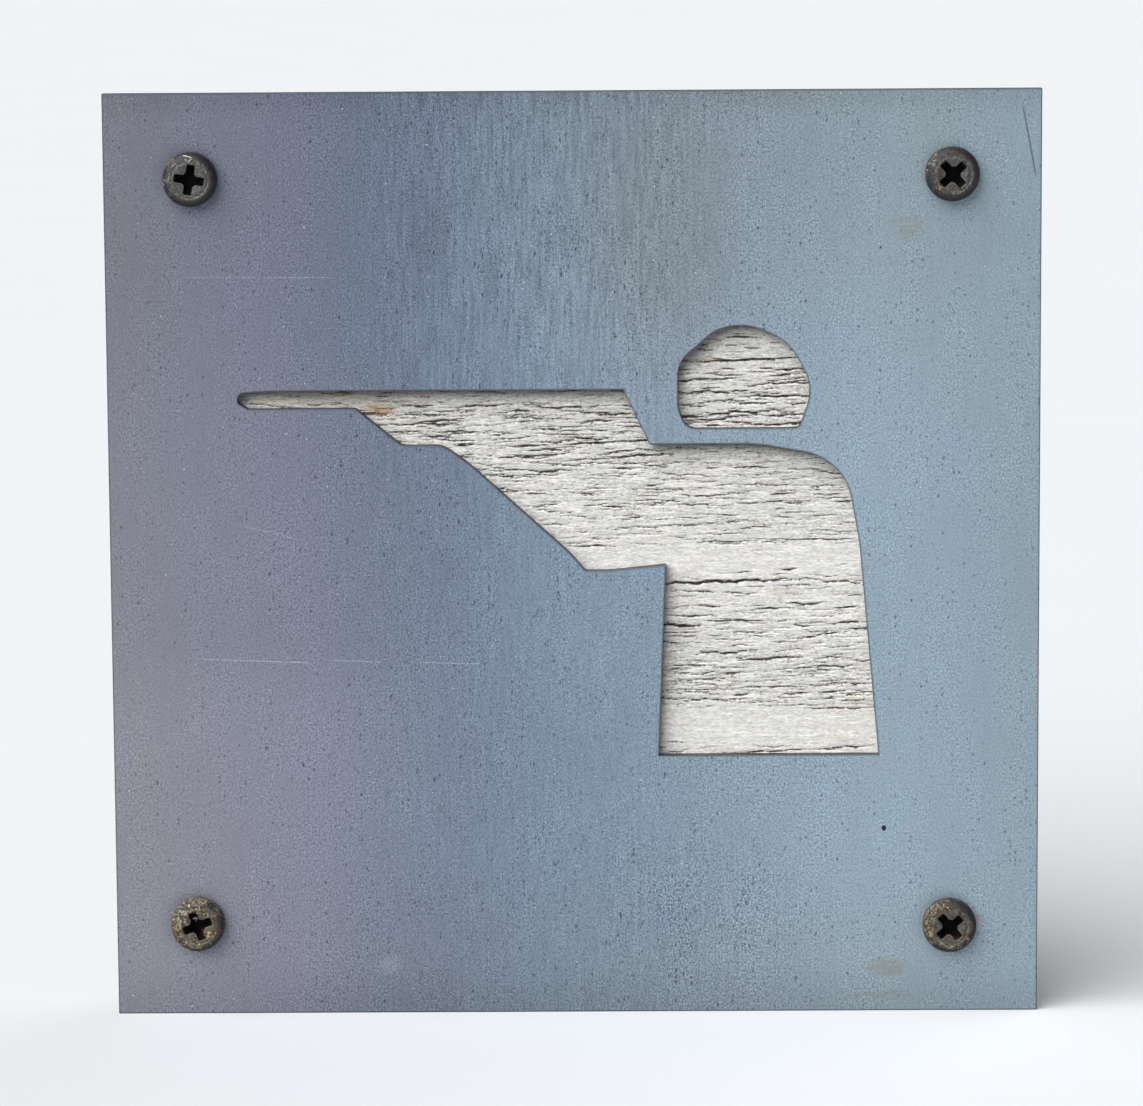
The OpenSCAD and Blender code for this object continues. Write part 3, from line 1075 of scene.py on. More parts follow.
@dataclass(frozen=True)
class PaleFloor:
    """Matt studio floor, nearly white, with the faintest mottling."""

    tone: tuple = srgb(218, 220, 222)

    def material(self) -> bpy.types.Material:
        """Builds the finish.

        Returns:
            The material.
        """
        g = Graph("pale_floor")
        mottle = g.noise(0.01, detail=2.0)
        return g.finish(g.dim(self.tone, 0.985 + mottle * 0.03), 0.85, specular=0.2)


@dataclass(frozen=True)
class Crack:
    """A crack in the paint, in millimetres.

    Attributes:
        left: Its left end, to the right of the middle.
        height: Height of its left end.
        length: Its length.
        width: How wide it opens.
        rise: How far its right end lies above its left end.
    """

    left: float
    height: float
    length: float
    width: float
    rise: float = 0.0


@dataclass(frozen=True)
class Band:
    """A stretch of the board's height whose paint is cracked alike.

    Attributes:
        low: Its lower side.
        high: Its upper side.
        count: Cracks in 100 square millimetres.
        length: Their usual length.
        width: Their usual width.
        crazed: How many hairlines run between them, 0 to 1.
        left: Its left side.
        right: Its right side.
    """

    low: float
    high: float
    count: float
    length: float
    width: float
    crazed: float = 1.0
    left: float = -53.0
    right: float = 52.0


@dataclass
class Crazing:
    """All the cracks in the paint that shows through the figure."""

    # The bold cracks, as the board shows them from the head down to the hem
    bold: tuple[Crack, ...] = (
        Crack(17.5, 106.2, 21, 0.54, 0.8), Crack(31, 105, 8, 0.5, 0.1), Crack(30.5, 103.9, 6.5, 0.4, 0.4),
        Crack(14.5, 103.2, 9, 0.44, 0.3), Crack(21, 103.5, 5, 0.3), Crack(27.5, 102.3, 9, 0.38, 0.8),
        Crack(34.5, 103, 5.5, 0.42, -0.4), Crack(14.5, 101.4, 16.5, 0.46, 0.1), Crack(26, 100.7, 14.5, 0.52),
        Crack(23, 100, 5, 0.34), Crack(26, 99.5, 5, 0.34), Crack(20, 97.9, 15, 0.52, 0.5),
        Crack(15, 97.4, 7, 0.54), Crack(30, 97.6, 7.5, 0.46), Crack(18.5, 96.5, 11, 0.44, 1.3),
        Crack(20.5, 96, 4, 0.42), Crack(26, 96.1, 11, 0.42),
        Crack(-43, 99.7, 2.5, 0.32), Crack(-28.5, 99.5, 6.5, 0.4), Crack(-28, 98, 7.5, 0.36),
        Crack(-31.5, 96.4, 13.5, 0.4, 0.2), Crack(-29.5, 95.3, 5, 0.36), Crack(-26.5, 94.2, 9, 0.4, 0.7),
        Crack(-19.5, 93.8, 4, 0.32),
        Crack(-2, 90.4, 8, 0.28, 0.4), Crack(12.5, 89.5, 9, 0.26, 1), Crack(25.5, 89.2, 7, 0.34),
        Crack(21, 89, 2.5, 0.36), Crack(20, 86.9, 3, 0.36), Crack(17.5, 84.4, 7.5, 0.36, 0.4),
        Crack(4.5, 82.9, 4, 0.42), Crack(12.5, 83.6, 5, 0.3), Crack(16, 83.2, 7.5, 0.3),
        Crack(30.5, 83.5, 9, 0.26), Crack(40, 84.1, 4.5, 0.26), Crack(2.5, 79.1, 30, 0.26, 1.5),
        Crack(27.5, 79.4, 4.5, 0.32), Crack(19, 77.1, 11, 0.32), Crack(31, 77.4, 15, 0.32),
        Crack(-1, 76.5, 8, 0.38),
        Crack(26, 72.1, 3, 0.36), Crack(33, 72.3, 3.3, 0.46, 0.5), Crack(8.5, 70.1, 29.5, 0.66, 0.9),
        Crack(35.5, 71.1, 14, 0.36, -1.2), Crack(18.5, 68.9, 4.5, 0.36), Crack(34, 66.9, 6.5, 0.44),
        Crack(30, 66, 4, 0.46, 0.3), Crack(14.5, 65, 9, 0.4), Crack(12.5, 63.6, 8.5, 0.68, -0.3),
        Crack(20.5, 64.2, 10.5, 0.42), Crack(41, 63.6, 5.7, 0.46, 0.3), Crack(16, 61.7, 4, 0.3),
        Crack(34.5, 61, 10, 0.4, 1.4), Crack(14.4, 60.6, 2.3, 0.36), Crack(19, 58.8, 10, 0.48, 0.3),
        Crack(26, 57.6, 11, 0.5, 0.7), Crack(40, 58, 4.2, 0.3, 0.7), Crack(45, 57.6, 3, 0.32),
        Crack(37.5, 56.4, 8.5, 0.4, 0.4), Crack(14.3, 56.9, 9.2, 0.3), Crack(14.3, 55.6, 16, 0.28),
        Crack(15.5, 54.5, 9, 0.3), Crack(39.5, 53.8, 8.8, 0.3), Crack(27, 53.3, 10, 0.3),
        Crack(14.2, 52.9, 11.7, 0.26), Crack(40, 51.3, 2.4, 0.36), Crack(14.2, 51.2, 16, 0.3),
        Crack(37, 49.7, 11.5, 0.34), Crack(14.2, 44.3, 3.7, 0.26), Crack(14.4, 42.5, 4.2, 0.32, 0.5),
        Crack(22, 42.2, 16.5, 0.38, 0.8), Crack(38.5, 42.9, 10.2, 0.36, 0.7), Crack(40.5, 42, 4, 0.36),
    )
    bands: tuple[Band, ...] = (
        Band(104.5, 113.5, 14, 4, 0.16, 0.7),
        Band(95, 104.5, 14, 5, 0.2, 0.9),
        Band(82, 95, 12, 6, 0.17, 0.8),
        Band(76.5, 82, 11, 7, 0.15, 0.7),
        Band(72.2, 76.5, 1.5, 4, 0.1, 0.2),
        Band(57, 72.2, 10, 5, 0.15, 0.75),
        Band(50, 57, 18, 7, 0.14, 1.0),
        Band(44.5, 50, 0.7, 3, 0.1, 0.15),
        Band(40, 44.5, 8, 5, 0.15, 0.5),
    )
    # Places where the cracks gape: the gun, the arm, the head and the coat
    patches: tuple[Band, ...] = (
        Band(88, 99.6, 13, 7.5, 0.35, left=-33, right=11),
        Band(80.5, 89, 7, 5.0, 0.26, left=-14, right=46),
        Band(96, 112.5, 7, 5, 0.34, left=16, right=38),
        Band(50, 70, 4, 5, 0.3, left=14, right=49),
    )
    seed: int = 7
    # Usual gap between two cracks of a row, as a share of their length
    gap_share: float = 0.7
    # Half width of a crack's middle as a share of its width, before its sides waver
    half_share: float = 0.43
    # How far an opening is followed outside a crack
    skirt: float = 0.4

    def cracks(self) -> list[Crack]:
        """Lays out the bold cracks and the small ones that fill each band.

        Returns:
            All the cracks, the bold ones first.
        """
        dice = random.Random(self.seed)
        found = list(self.bold)
        for band in self.bands + self.patches:
            # The cracks lie in uneven rows, one after another
            gap = band.length * self.gap_share
            pitch = 100 / (band.count * (band.length + gap))
            height = band.low + pitch * dice.random()
            while height < band.high:
                left = band.left - band.length * dice.random()
                while left < band.right:
                    length = band.length * dice.uniform(0.4, 1.6)
                    width = band.width * dice.uniform(0.5, 1.5)
                    drift = pitch * dice.gauss(0.0, 0.15)
                    found.append(Crack(left, height + drift, length, width, length * dice.gauss(0.0, 0.05)))
                    left += length + gap * dice.uniform(0.3, 1.7)
                height += pitch * dice.uniform(0.7, 1.3)
        return found

    def opening(self, x: np.ndarray, z: np.ndarray) -> np.ndarray:
        """How deep each point lies inside a crack.

        Args:
            x: Places of the points, to the right.
            z: Places of the points, upwards.

        Returns:
            Millimetres to the nearest side of a crack, negative outside and never below -skirt.
        """
        depth = np.full(len(x), -self.skirt)
        dice = random.Random(self.seed + 1)
        for crack in self.cracks():
            phase = [dice.uniform(0, 2 * math.pi) for _ in range(4)]
            wander = dice.uniform(0.08, 0.26)
            reach = crack.width + wander * 2 + abs(crack.rise) + self.skirt
            near = np.abs(z - crack.height) < reach
            near &= (x > crack.left - self.skirt) & (x < crack.left + crack.length + self.skirt)
            run = x[near] - crack.left
            share = np.clip(run / crack.length, 0, 1)
            drift = 0.6 * np.sin(run * 1.1 + phase[0]) + 0.4 * np.sin(run * 2.9 + phase[1])
            path = crack.height + crack.rise * share + wander * drift
            uneven = 0.78 + 0.14 * np.sin(run * 1.9 + phase[2]) + 0.14 * np.sin(run * 5.3 + phase[3])
            half = crack.width * self.half_share * np.sin(math.pi * share) ** 0.8 * uneven
            beyond = np.maximum(-run, run - crack.length).clip(0)
            inside = half - np.hypot(z[near] - path, beyond)
            depth[near] = np.maximum(depth[near], inside)
        return depth

    def crazed(self, z: np.ndarray) -> np.ndarray:
        """How thickly hairlines run at each height, 0 to 1."""
        middles = [(band.low + band.high) / 2 for band in reversed(self.bands)]
        return np.interp(z, middles, [band.crazed for band in reversed(self.bands)])


@dataclass
class SteelPlate:
    """The square sheet, with the figure and the screws' holes cut through it."""

    node: str = "steel_plate"
    slot: str = "mill_scale_steel"
    # How far the sawn and cut edges are broken, and how far the cutter has burnt the face beside them, a band
    # darkened partly with painted shade
    edge_break: float = 0.13
    burnt_and_shaded: float = 0.26
    finish: MillScale = field(default_factory=MillScale)

    def build(self) -> bpy.types.Object:
        """Makes the sheet with its edges broken.

        Returns:
            The sheet, in metres.
        """
        piece = merged_copy(self.node)
        front = span(self.node)[0].y
        with Bench(piece) as bench:
            bench.pick(Part.FACE, lambda at: near(at.y, front), FRONT)
            bench.inset(self.edge_break + self.burnt_and_shaded)
        break_edges(piece, self.edge_break)
        self._store_burnt_and_shaded(piece)
        return completed(piece, Finishing.CRISP)

    @staticmethod
    def _store_burnt_and_shaded(piece: bpy.types.Object) -> None:
        """Stores 0 where only the flat face meets and 1 along its edges and beyond.

        Args:
            piece: The sheet.
        """
        # Least cosine between the front and a face that still counts as flat
        flat = 0.99
        with Bench(piece):
            mesh = bmesh.from_edit_mesh(piece.data)
            burnt_and_shaded = [float(any(face.normal.dot(FRONT) < flat for face in v.link_faces)) for v in mesh.verts]
        attribute = piece.data.attributes.new("edge", "FLOAT", "POINT")
        attribute.data.foreach_set("value", burnt_and_shaded)

    def dress(self, piece: bpy.types.Object) -> None:
        """Gives the sheet its mill scale."""
        hand_over(piece, self.finish.material(), self.node)


@dataclass(frozen=True)
class Area:
    """An upright oblong on the board, in millimetres.

    Attributes:
        left: Its left side.
        low: Its lower side.
        right: Its right side.
        high: Its upper side.
    """

    left: float
    low: float
    right: float
    high: float

    @property
    def size(self) -> tuple[float, float]:
        """Its width and height."""
        return self.right - self.left, self.high - self.low

    def middle(self, depth: float) -> tuple[float, float, float]:
        """Its middle at some place along Y."""
        return (self.left + self.right) / 2, depth, (self.low + self.high) / 2

    def holds(self, at: Vector) -> bool:
        """Whether a point lies on its sides or inside them."""
        return self.left - CLOSE < at.x < self.right + CLOSE and self.low - CLOSE < at.z < self.high + CLOSE


@dataclass
class BackingBoard:
    """The painted board: cracked where it shows, drilled for the screws, with a routed pocket."""

    node: str = "backing_board"
    slot: str = "painted_wood"
    # The stretch of the front that shows through the figure, and its finest faces
    window: Area = Area(-53.0, 40.0, 52.0, 113.6)
    cell: tuple[float, float] = (0.66, 0.155)
    edge_round: float = 0.7
    pilot_radius: float = 2.3
    pilot_end: float = 4.1
    nail_pilot_radius: float = 0.8
    nail_pilot_end: float = -4.1
    pocket: Area = Area(-25.5, 115.0, 25.5, 135.0)
    pocket_corner: float = 5.0
    pocket_depth: float = 3.0
    crack_depth: float = 0.75
    # How far outside a crack the paint starts to sink, and over how far it sinks
    lip: float = 0.05
    slope: float = 0.4
    # How thickly hairlines run on the back and the edges
    crazed_elsewhere: float = 0.6
    crazing: Crazing = field(default_factory=Crazing)
    finish: CrackledPaint = field(default_factory=CrackledPaint)

    def build(self) -> bpy.types.Object:
        """Makes the board: block, window, holes, pocket, then the cracks.

        Returns:
            The board, in metres.
        """
        low, high = span(self.node)
        piece = self._window(low.y)
        with Bench(piece) as bench:
            self._block(bench, low, high)
            self._front(bench, low.y)
            self._back(bench, high.y)
            bench.tidy()
        self._crack(piece, low.y)
        return completed(piece, Finishing.TURNED)

    def _window(self, front: float) -> bpy.types.Object:
        """Lays a fine grid where the paint shows.

        Args:
            front: Place of the board's front along Y.

        Returns:
            The piece, so far the grid alone.
        """
        width, height = self.window.size
        return new_piece(
            "backing_board_dressed", bpy.ops.mesh.primitive_grid_add, (width, height, 1),
            x_subdivisions=round(width / self.cell[0]), y_subdivisions=round(height / self.cell[1]),
            size=1, location=self.window.middle(front), rotation=(math.pi / 2, 0, 0),
        )

    def _block(self, bench: Bench, low: Vector, high: Vector) -> None:
        """Adds the block with its edges rounded and its front and back open.

        Args:
            bench: The board on its bench.
            low: Lowest corner of the board.
            high: Highest corner of the board.
        """
        size = high - low
        bench.add(bpy.ops.mesh.primitive_cube_add, size=1, location=(low + high) / 2)
        bench.scale(size.x, size.y, size.z, (low + high) / 2)
        bench.bevel(self.edge_round, 4)
        for depth, way in ((low.y, FRONT), (high.y, BACK)):
            bench.pick(
                Part.FACE,
                lambda at: near(at.y, depth) and not (near(at.y, low.y) and self.window.holds(at)),
                way,
            )
            bench.drop_faces()
        log.info("block of the board: %.1f x %.1f x %.1f mm", *size)

    def _front(self, bench: Bench, front: float) -> None:
        """Fills the front round the window and drills the screws' pilot holes.

        Args:
            bench: The board on its bench.
            front: Place of the front along Y.
        """
        axes = [corner.axis for corner in Corner]
        self._outline(bench, axes, 40, self.pilot_radius, front)
        bench.pick_rims(front)
        bench.fill()
        self._drill(bench, axes, self.pilot_radius, front, self.pilot_end)

    def _back(self, bench: Bench, back: float) -> None:
        """Fills the back round the routed pocket and drills the nails' pilot holes.

        Args:
            bench: The board on its bench.
            back: Place of the back along Y.
        """
        width, height = self.pocket.size
        middle = self.pocket.middle(back)
        bench.add(bpy.ops.mesh.primitive_plane_add, size=1, location=middle, rotation=(-math.pi / 2, 0, 0))
        bench.scale(width, 1, height, middle)
        bpy.ops.mesh.select_mode(type="VERT")
        bench.bevel(self.pocket_corner, 8, "VERTICES")
        bpy.ops.mesh.select_mode(type="FACE")
        bench.drop_faces()
        bench.pick_rims(back)
        bench.fill()

        floor = back - self.pocket_depth
        bench.pick(Part.EDGE, lambda at: self.pocket.holds(at) and near(at.y, back))
        bench.pull(y=-self.pocket_depth)
        axes = [nail.axis for nail in Nail]
        self._outline(bench, axes, 24, self.nail_pilot_radius, floor)
        bench.pick_rims(floor)
        bench.fill()
        self._drill(bench, axes, self.nail_pilot_radius, floor, self.nail_pilot_end)

    @staticmethod
    def _outline(
        bench: Bench, axes: Sequence[tuple[float, float]], sides: int, radius: float, depth: float
    ) -> None:
        """Lays out round holes.

        Args:
            bench: The board on its bench.
            axes: Right and up place of each hole.
            sides: Sides of each hole.
            radius: Radius of each hole.
            depth: Place of their mouths along Y.
        """
        for x, z in axes:
            bench.add(
                bpy.ops.mesh.primitive_circle_add, vertices=sides, radius=radius,
                location=(x, depth, z), rotation=(math.pi / 2, 0, 0),
            )

    @staticmethod
    def _drill(
        bench: Bench, axes: Sequence[tuple[float, float]], radius: float, mouth: float, end: float
    ) -> None:
        """Deepens round openings and closes their bottoms.

        Args:
            bench: The board on its bench.
            axes: Right and up place of each hole.
            radius: Radius of each hole.
            mouth: Place of their mouths along Y.
            end: Place of their bottoms along Y.
        """
        for x, z in axes:
            bench.pick(
                Part.EDGE,
                lambda at: near(at.y, mouth) and near(math.hypot(at.x - x, at.z - z), radius),
            )
            bench.pull(y=end - mouth)
            bench.cap()

    def _crack(self, piece: bpy.types.Object, front: float) -> None:
        """Stores where the paint is cracked and sinks the cracks into the board.

        Args:
            piece: The board.
            front: Place of its front along Y.
        """
        mesh = piece.data
        places = np.empty(len(mesh.vertices) * 3, np.float32)
        mesh.vertices.foreach_get("co", places)
        x, y, z = places.reshape(-1, 3).T.astype(float)
        # The grid's outer points stay in place, so that the front round them stays closed
        margin = 0.1
        on_front = np.abs(y - front) < CLOSE
        shown = on_front & (x > self.window.left + margin) & (x < self.window.right - margin)
        shown &= (z > self.window.low + margin) & (z < self.window.high - margin)
        opening = np.full(len(x), -self.crazing.skirt)
        opening[shown] = self.crazing.opening(x[shown], z[shown])
        crazed = np.where(on_front, self.crazing.crazed(z), self.crazed_elsewhere)
        for name, numbers in (("opening", opening), ("crazed", crazed)):
            attribute = mesh.attributes.new(name, "FLOAT", "POINT")
            attribute.data.foreach_set("value", numbers.astype(np.float32))
        sunk = piece.vertex_groups.new(name="sunk")
        share = np.clip((opening + self.lip) / self.slope, 0, 1)
        for index in np.nonzero(share)[0]:
            sunk.add([int(index)], float(share[index]), "REPLACE")
        modify(
            piece, "DISPLACE", vertex_group="sunk", direction="Y", mid_level=0.0, strength=self.crack_depth
        )

    def dress(self, piece: bpy.types.Object) -> None:
        """Gives the board its old paint."""
        hand_over(piece, self.finish.material(), self.node)


@dataclass
class PanHeadScrews:
    """The four pan-head wood screws: one is turned, threaded and slotted, and then copied."""

    slot: str = "blackened_steel"
    head_radius: float = 4.35
    head_height: float = 2.8
    rim: float = 1.2
    # Insets that press a shallow ring into the head's flat, each its width and its rise
    ring: tuple = ((0.04, 0.0), (0.1, -0.07), (0.1, 0.0), (0.1, 0.05))
    foot_break: float = 0.12
    shank_radius: float = 2.22
    core_radius: float = 1.6
    shank_length: float = 8.0
    # Lengths of the plain neck under the head and of its taper to the core
    neck: float = 0.8
    neck_taper: float = 0.3
    tip_length: float = 4.0
    tip_share: float = 0.12
    pitch: float = 1.7
    turns: int = 4
    # Size of the thread's section, how flat it is, and how far it starts from the tip
    thread_size: float = 0.5
    thread_flat: float = 0.7
    thread_start: float = 0.3
    wing: float = 1.34
    wing_reach: float = 2.74
    wing_round: float = 0.24
    # Half the width of the recess's heart, whose corners are cut off down to the wings
    heart: float = 1.06
    recess_depth: float = 2.1
    # Share of the wings' reach that is left at the recess's floor
    floor_share: float = 0.47
    lip_round: float = 0.07
    sides: int = 72

    def model(self) -> bpy.types.Object:
        """Makes one screw along +Z, with the underside of its head at zero.

        Returns:
            The screw, in millimetres.
        """
        top = self.head_height
        piece = new_piece(
            "pan_head_screw", bpy.ops.mesh.primitive_cylinder_add,
            vertices=self.sides, radius=self.head_radius, depth=top, location=(0, 0, top / 2),
        )
        narrowed = self.core_radius / self.shank_radius
        with Bench(piece) as bench:
            bench.pick(Part.EDGE, lambda at: near(at.z, top))
            bench.bevel(self.rim, 8)
            bench.pick(Part.FACE, lambda at: near(at.z, top), UP)
            for width, rise in self.ring:
                bench.inset(width, rise)
            bench.pick(Part.FACE, lambda at: near(at.z, 0), -UP)
            bench.inset(self.head_radius - self.shank_radius)
            bench.pull(z=-self.neck)
            bench.pull(z=-self.neck_taper)
            bench.scale(narrowed, narrowed, 1)
            bench.pull(z=self.neck + self.neck_taper - self.shank_length)
            bench.pull(z=-self.tip_length)
            bench.scale(self.tip_share, self.tip_share, 1, (0, 0, -self.shank_length - self.tip_length))
            bench.pick(Part.EDGE, lambda at: near(at.z, 0) and near(at.xy.length, self.head_radius))
            bench.bevel(self.foot_break, 2)
            bench.tidy()
        self._slot_cross(piece)
        self._thread(piece)
        return piece

    def _slot_cross(self, piece: bpy.types.Object) -> None:
        """Cuts the cross recess, tapering to its floor, and breaks its edges.

        Args:
            piece: The screw.
        """
        top = self.head_height
        floor = top - self.recess_depth
        # How far the cutter stands out of the head
        lift = 0.4
        cutter = new_piece(
            "cross", bpy.ops.mesh.primitive_plane_add, size=self.heart * 2, location=(0, 0, top + lift)
        )
        with Bench(cutter) as bench:
            bench.pick(Part.VERT, lambda at: True)
            bench.bevel(self.heart - self.wing / 2, 1, "VERTICES")
            for side in (-1, 1):
                bench.pick(Part.EDGE, lambda at: near(at.x, side * self.heart))
                bench.pull(x=side * (self.wing_reach - self.heart))
                bench.pick(Part.EDGE, lambda at: near(at.y, side * self.heart))
                bench.pull(y=side * (self.wing_reach - self.heart))
            bpy.ops.mesh.select_mode(type="FACE")
            bpy.ops.mesh.select_all(action="SELECT")
            bench.pull(z=-lift - self.recess_depth)
            bench.pick(Part.EDGE, lambda at: near(max(abs(at.x), abs(at.y)), self.wing_reach))
            bench.keep(lambda start, end: near((start - end).xy.length, 0))
            bench.bevel(self.wing_round, 3)
            for axis in (0, 1):
                bench.pick(
                    Part.VERT,
                    lambda at: near(at.z, floor) and abs(at[axis]) > (self.heart + self.wing_reach) / 2,
                )
                factors = [1.0, 1.0, 1.0]
                factors[axis] = self.floor_share
                bench.scale(*factors)
            bench.tidy()
        modify(piece, "BOOLEAN", operation="DIFFERENCE", object=cutter, solver="EXACT")
        bpy.data.objects.remove(cutter)
        # The recess opens a little below the top, inside the pressed ring
        sunk, slack = 0.05, 0.02
        with Bench(piece) as bench:
            bench.pick(
                Part.EDGE,
                lambda at: top - sunk < at.z < top + CLOSE and at.xy.length < self.wing_reach + slack,
            )
            bench.bevel(self.lip_round, 2)

    def _thread(self, piece: bpy.types.Object) -> None:
        """Winds the thread round the core.

        Args:
            piece: The screw.
        """
        foot = (0, 0, self.thread_start - self.shank_length)
        thread = new_piece(
            "thread", bpy.ops.mesh.primitive_circle_add, vertices=3, radius=self.thread_size,
            location=(self.core_radius, 0, foot[2]), rotation=(math.pi / 2, math.pi / 2, 0),
        )
        with Bench(thread) as bench:
            bench.pick(Part.VERT, lambda at: at.x > self.core_radius)
            bench.move(x=self.shank_radius - max(v.co.x for v in thread.data.vertices))
            bench.pick(Part.VERT, lambda at: at.x < self.core_radius + CLOSE)
            bench.scale(1, 1, self.thread_flat, foot)
        modify(
            thread, "SCREW", axis="Z", angle=2 * math.pi, screw_offset=self.pitch, iterations=self.turns,
            steps=40, render_steps=40, use_merge_vertices=False,
        )
        with Bench(thread) as bench:
            bench.pick_rims()
            bench.fill()
            bench.tidy()
        choose(piece, thread)
        bpy.ops.object.join()

    @staticmethod
    def place(model: bpy.types.Object, corner: Corner) -> bpy.types.Object:
        """Copies the screw into its hole.

        Args:
            model: The screw along +Z.
            corner: Which of the four it is.

        Returns:
            The copy, in metres.
        """
        x, z = corner.axis
        at_hole = Matrix.Translation((x, span("steel_plate")[0].y, z)) @ Matrix.Rotation(math.pi / 2, 4, "X")
        return placed_copy(model, corner.node, at_hole @ Matrix.Rotation(math.radians(corner.turn), 4, "Z"))

    def dress(self, piece: bpy.types.Object, finish: WornScrewSteel) -> None:
        """Gives one screw its wear and rust."""
        hand_over(piece, finish.material(), finish.corner.node)

    def finishes(self) -> list[WornScrewSteel]:
        """Gives each screw a wear of its own.

        Returns:
            The four finishes, from nearly clean to rusty.
        """
        # The pale marks, and the lime ones on the lower left screw, sit on the rims' upper left and top:
        # painted highlight where the light falls on the rounded rim, with lime crust too on the lower left
        # screw
        gold, olive, pale = srgb(166, 144, 106), srgb(128, 130, 104), srgb(118, 122, 126)
        brown, rust, lime = srgb(70, 54, 47), srgb(112, 80, 62), srgb(166, 162, 148)
        return [
            WornScrewSteel(
                Corner.UPPER_LEFT, 0.26, srgb(92, 95, 96), srgb(88, 86, 80),
                (
                    Mark(-2.4, 2.4, 1.8, 1.0, pale), Mark(-3.3, 0.4, 0.8, 2.2, pale),
                    Mark(1.5, 2.75, 1.5, 0.6, gold), Mark(3.1, 0.5, 1.4, 3.0, brown),
                    Mark(1.1, -2.75, 1.6, 0.4, olive), Mark(1.9, -2.2, 1.0, 0.5, olive),
                    Mark(-1.2, -3.3, 1.6, 1.0, brown),
                ),
                (
                    ((-1.1, 3.9), (-0.3, 3.85)), ((-0.6, 3.9), (0.65, 3.5)),
                    ((-0.7, 3.35), (0.0, 2.95)), ((-0.1, 2.9), (0.5, 3.4)),
                ),
            ),
            WornScrewSteel(
                Corner.UPPER_RIGHT, 0.3, srgb(86, 89, 92), srgb(84, 77, 72),
                (
                    Mark(-2.2, -2.2, 1.6, 0.9, gold), Mark(-1.9, -3.2, 1.3, 0.7, rust),
                    Mark(0.3, -2.6, 2.6, 0.9, olive), Mark(-2.1, -0.3, 1.2, 2.2, brown),
                    Mark(0.2, 3.4, 2.8, 1.1, brown), Mark(-3.1, 1.8, 0.8, 1.6, pale),
                ),
                (((-2.3, 2.2), (-1.9, 2.2)),),
            ),
            WornScrewSteel(
                Corner.LOWER_LEFT, 0.7, srgb(98, 97, 88), srgb(98, 84, 70),
                (
                    Mark(-0.5, 0.9, 1.3, 0.8, srgb(250, 226, 226)), Mark(-0.4, 2.3, 2.4, 1.1, olive),
                    Mark(-2.0, 2.3, 3.4, 1.4, lime), Mark(-3.1, 0.4, 1.5, 3.4, lime),
                    Mark(0.3, 3.0, 2.4, 0.9, lime), Mark(-0.4, -3.4, 3.6, 1.2, olive),
                    Mark(1.4, 1.9, 1.6, 0.9, olive), Mark(1.7, -1.4, 2.6, 1.8, gold),
                    Mark(3.4, 0.4, 2.0, 4.6, brown), Mark(-3.2, -0.2, 1.3, 2.6, gold),
                    Mark(0.8, -1.0, 1.1, 0.9, rust), Mark(0.2, 3.9, 1.6, 0.6, pale),
                ),
                (((-0.6, 0.55), (-0.2, 0.4)),),
            ),
            WornScrewSteel(
                Corner.LOWER_RIGHT, 0.5, srgb(88, 90, 86), srgb(88, 78, 66),
                (
                    Mark(0.1, 3.7, 3.0, 1.1, brown), Mark(-1.7, 2.3, 1.6, 1.6, rust),
                    Mark(-3.1, -0.8, 1.2, 2.4, gold), Mark(3.4, 0.2, 1.0, 2.8, rust),
                    Mark(-1.6, -2.6, 1.5, 0.9, gold), Mark(0.9, -1.9, 1.4, 0.8, brown),
                    Mark(0.6, -3.3, 4.2, 1.2, srgb(138, 134, 116)), Mark(2.9, -2.2, 1.2, 1.8, olive),
                ),
            ),
        ]


class Nail(Enum):
    """The hanger's two nails, left and right as seen from the front."""

    LEFT = "hanger_nail_left"
    RIGHT = "hanger_nail_right"

    @property
    def axis(self) -> tuple[float, float]:
        """Right and up place of its axis, in millimetres."""
        return axis_of(self.value)


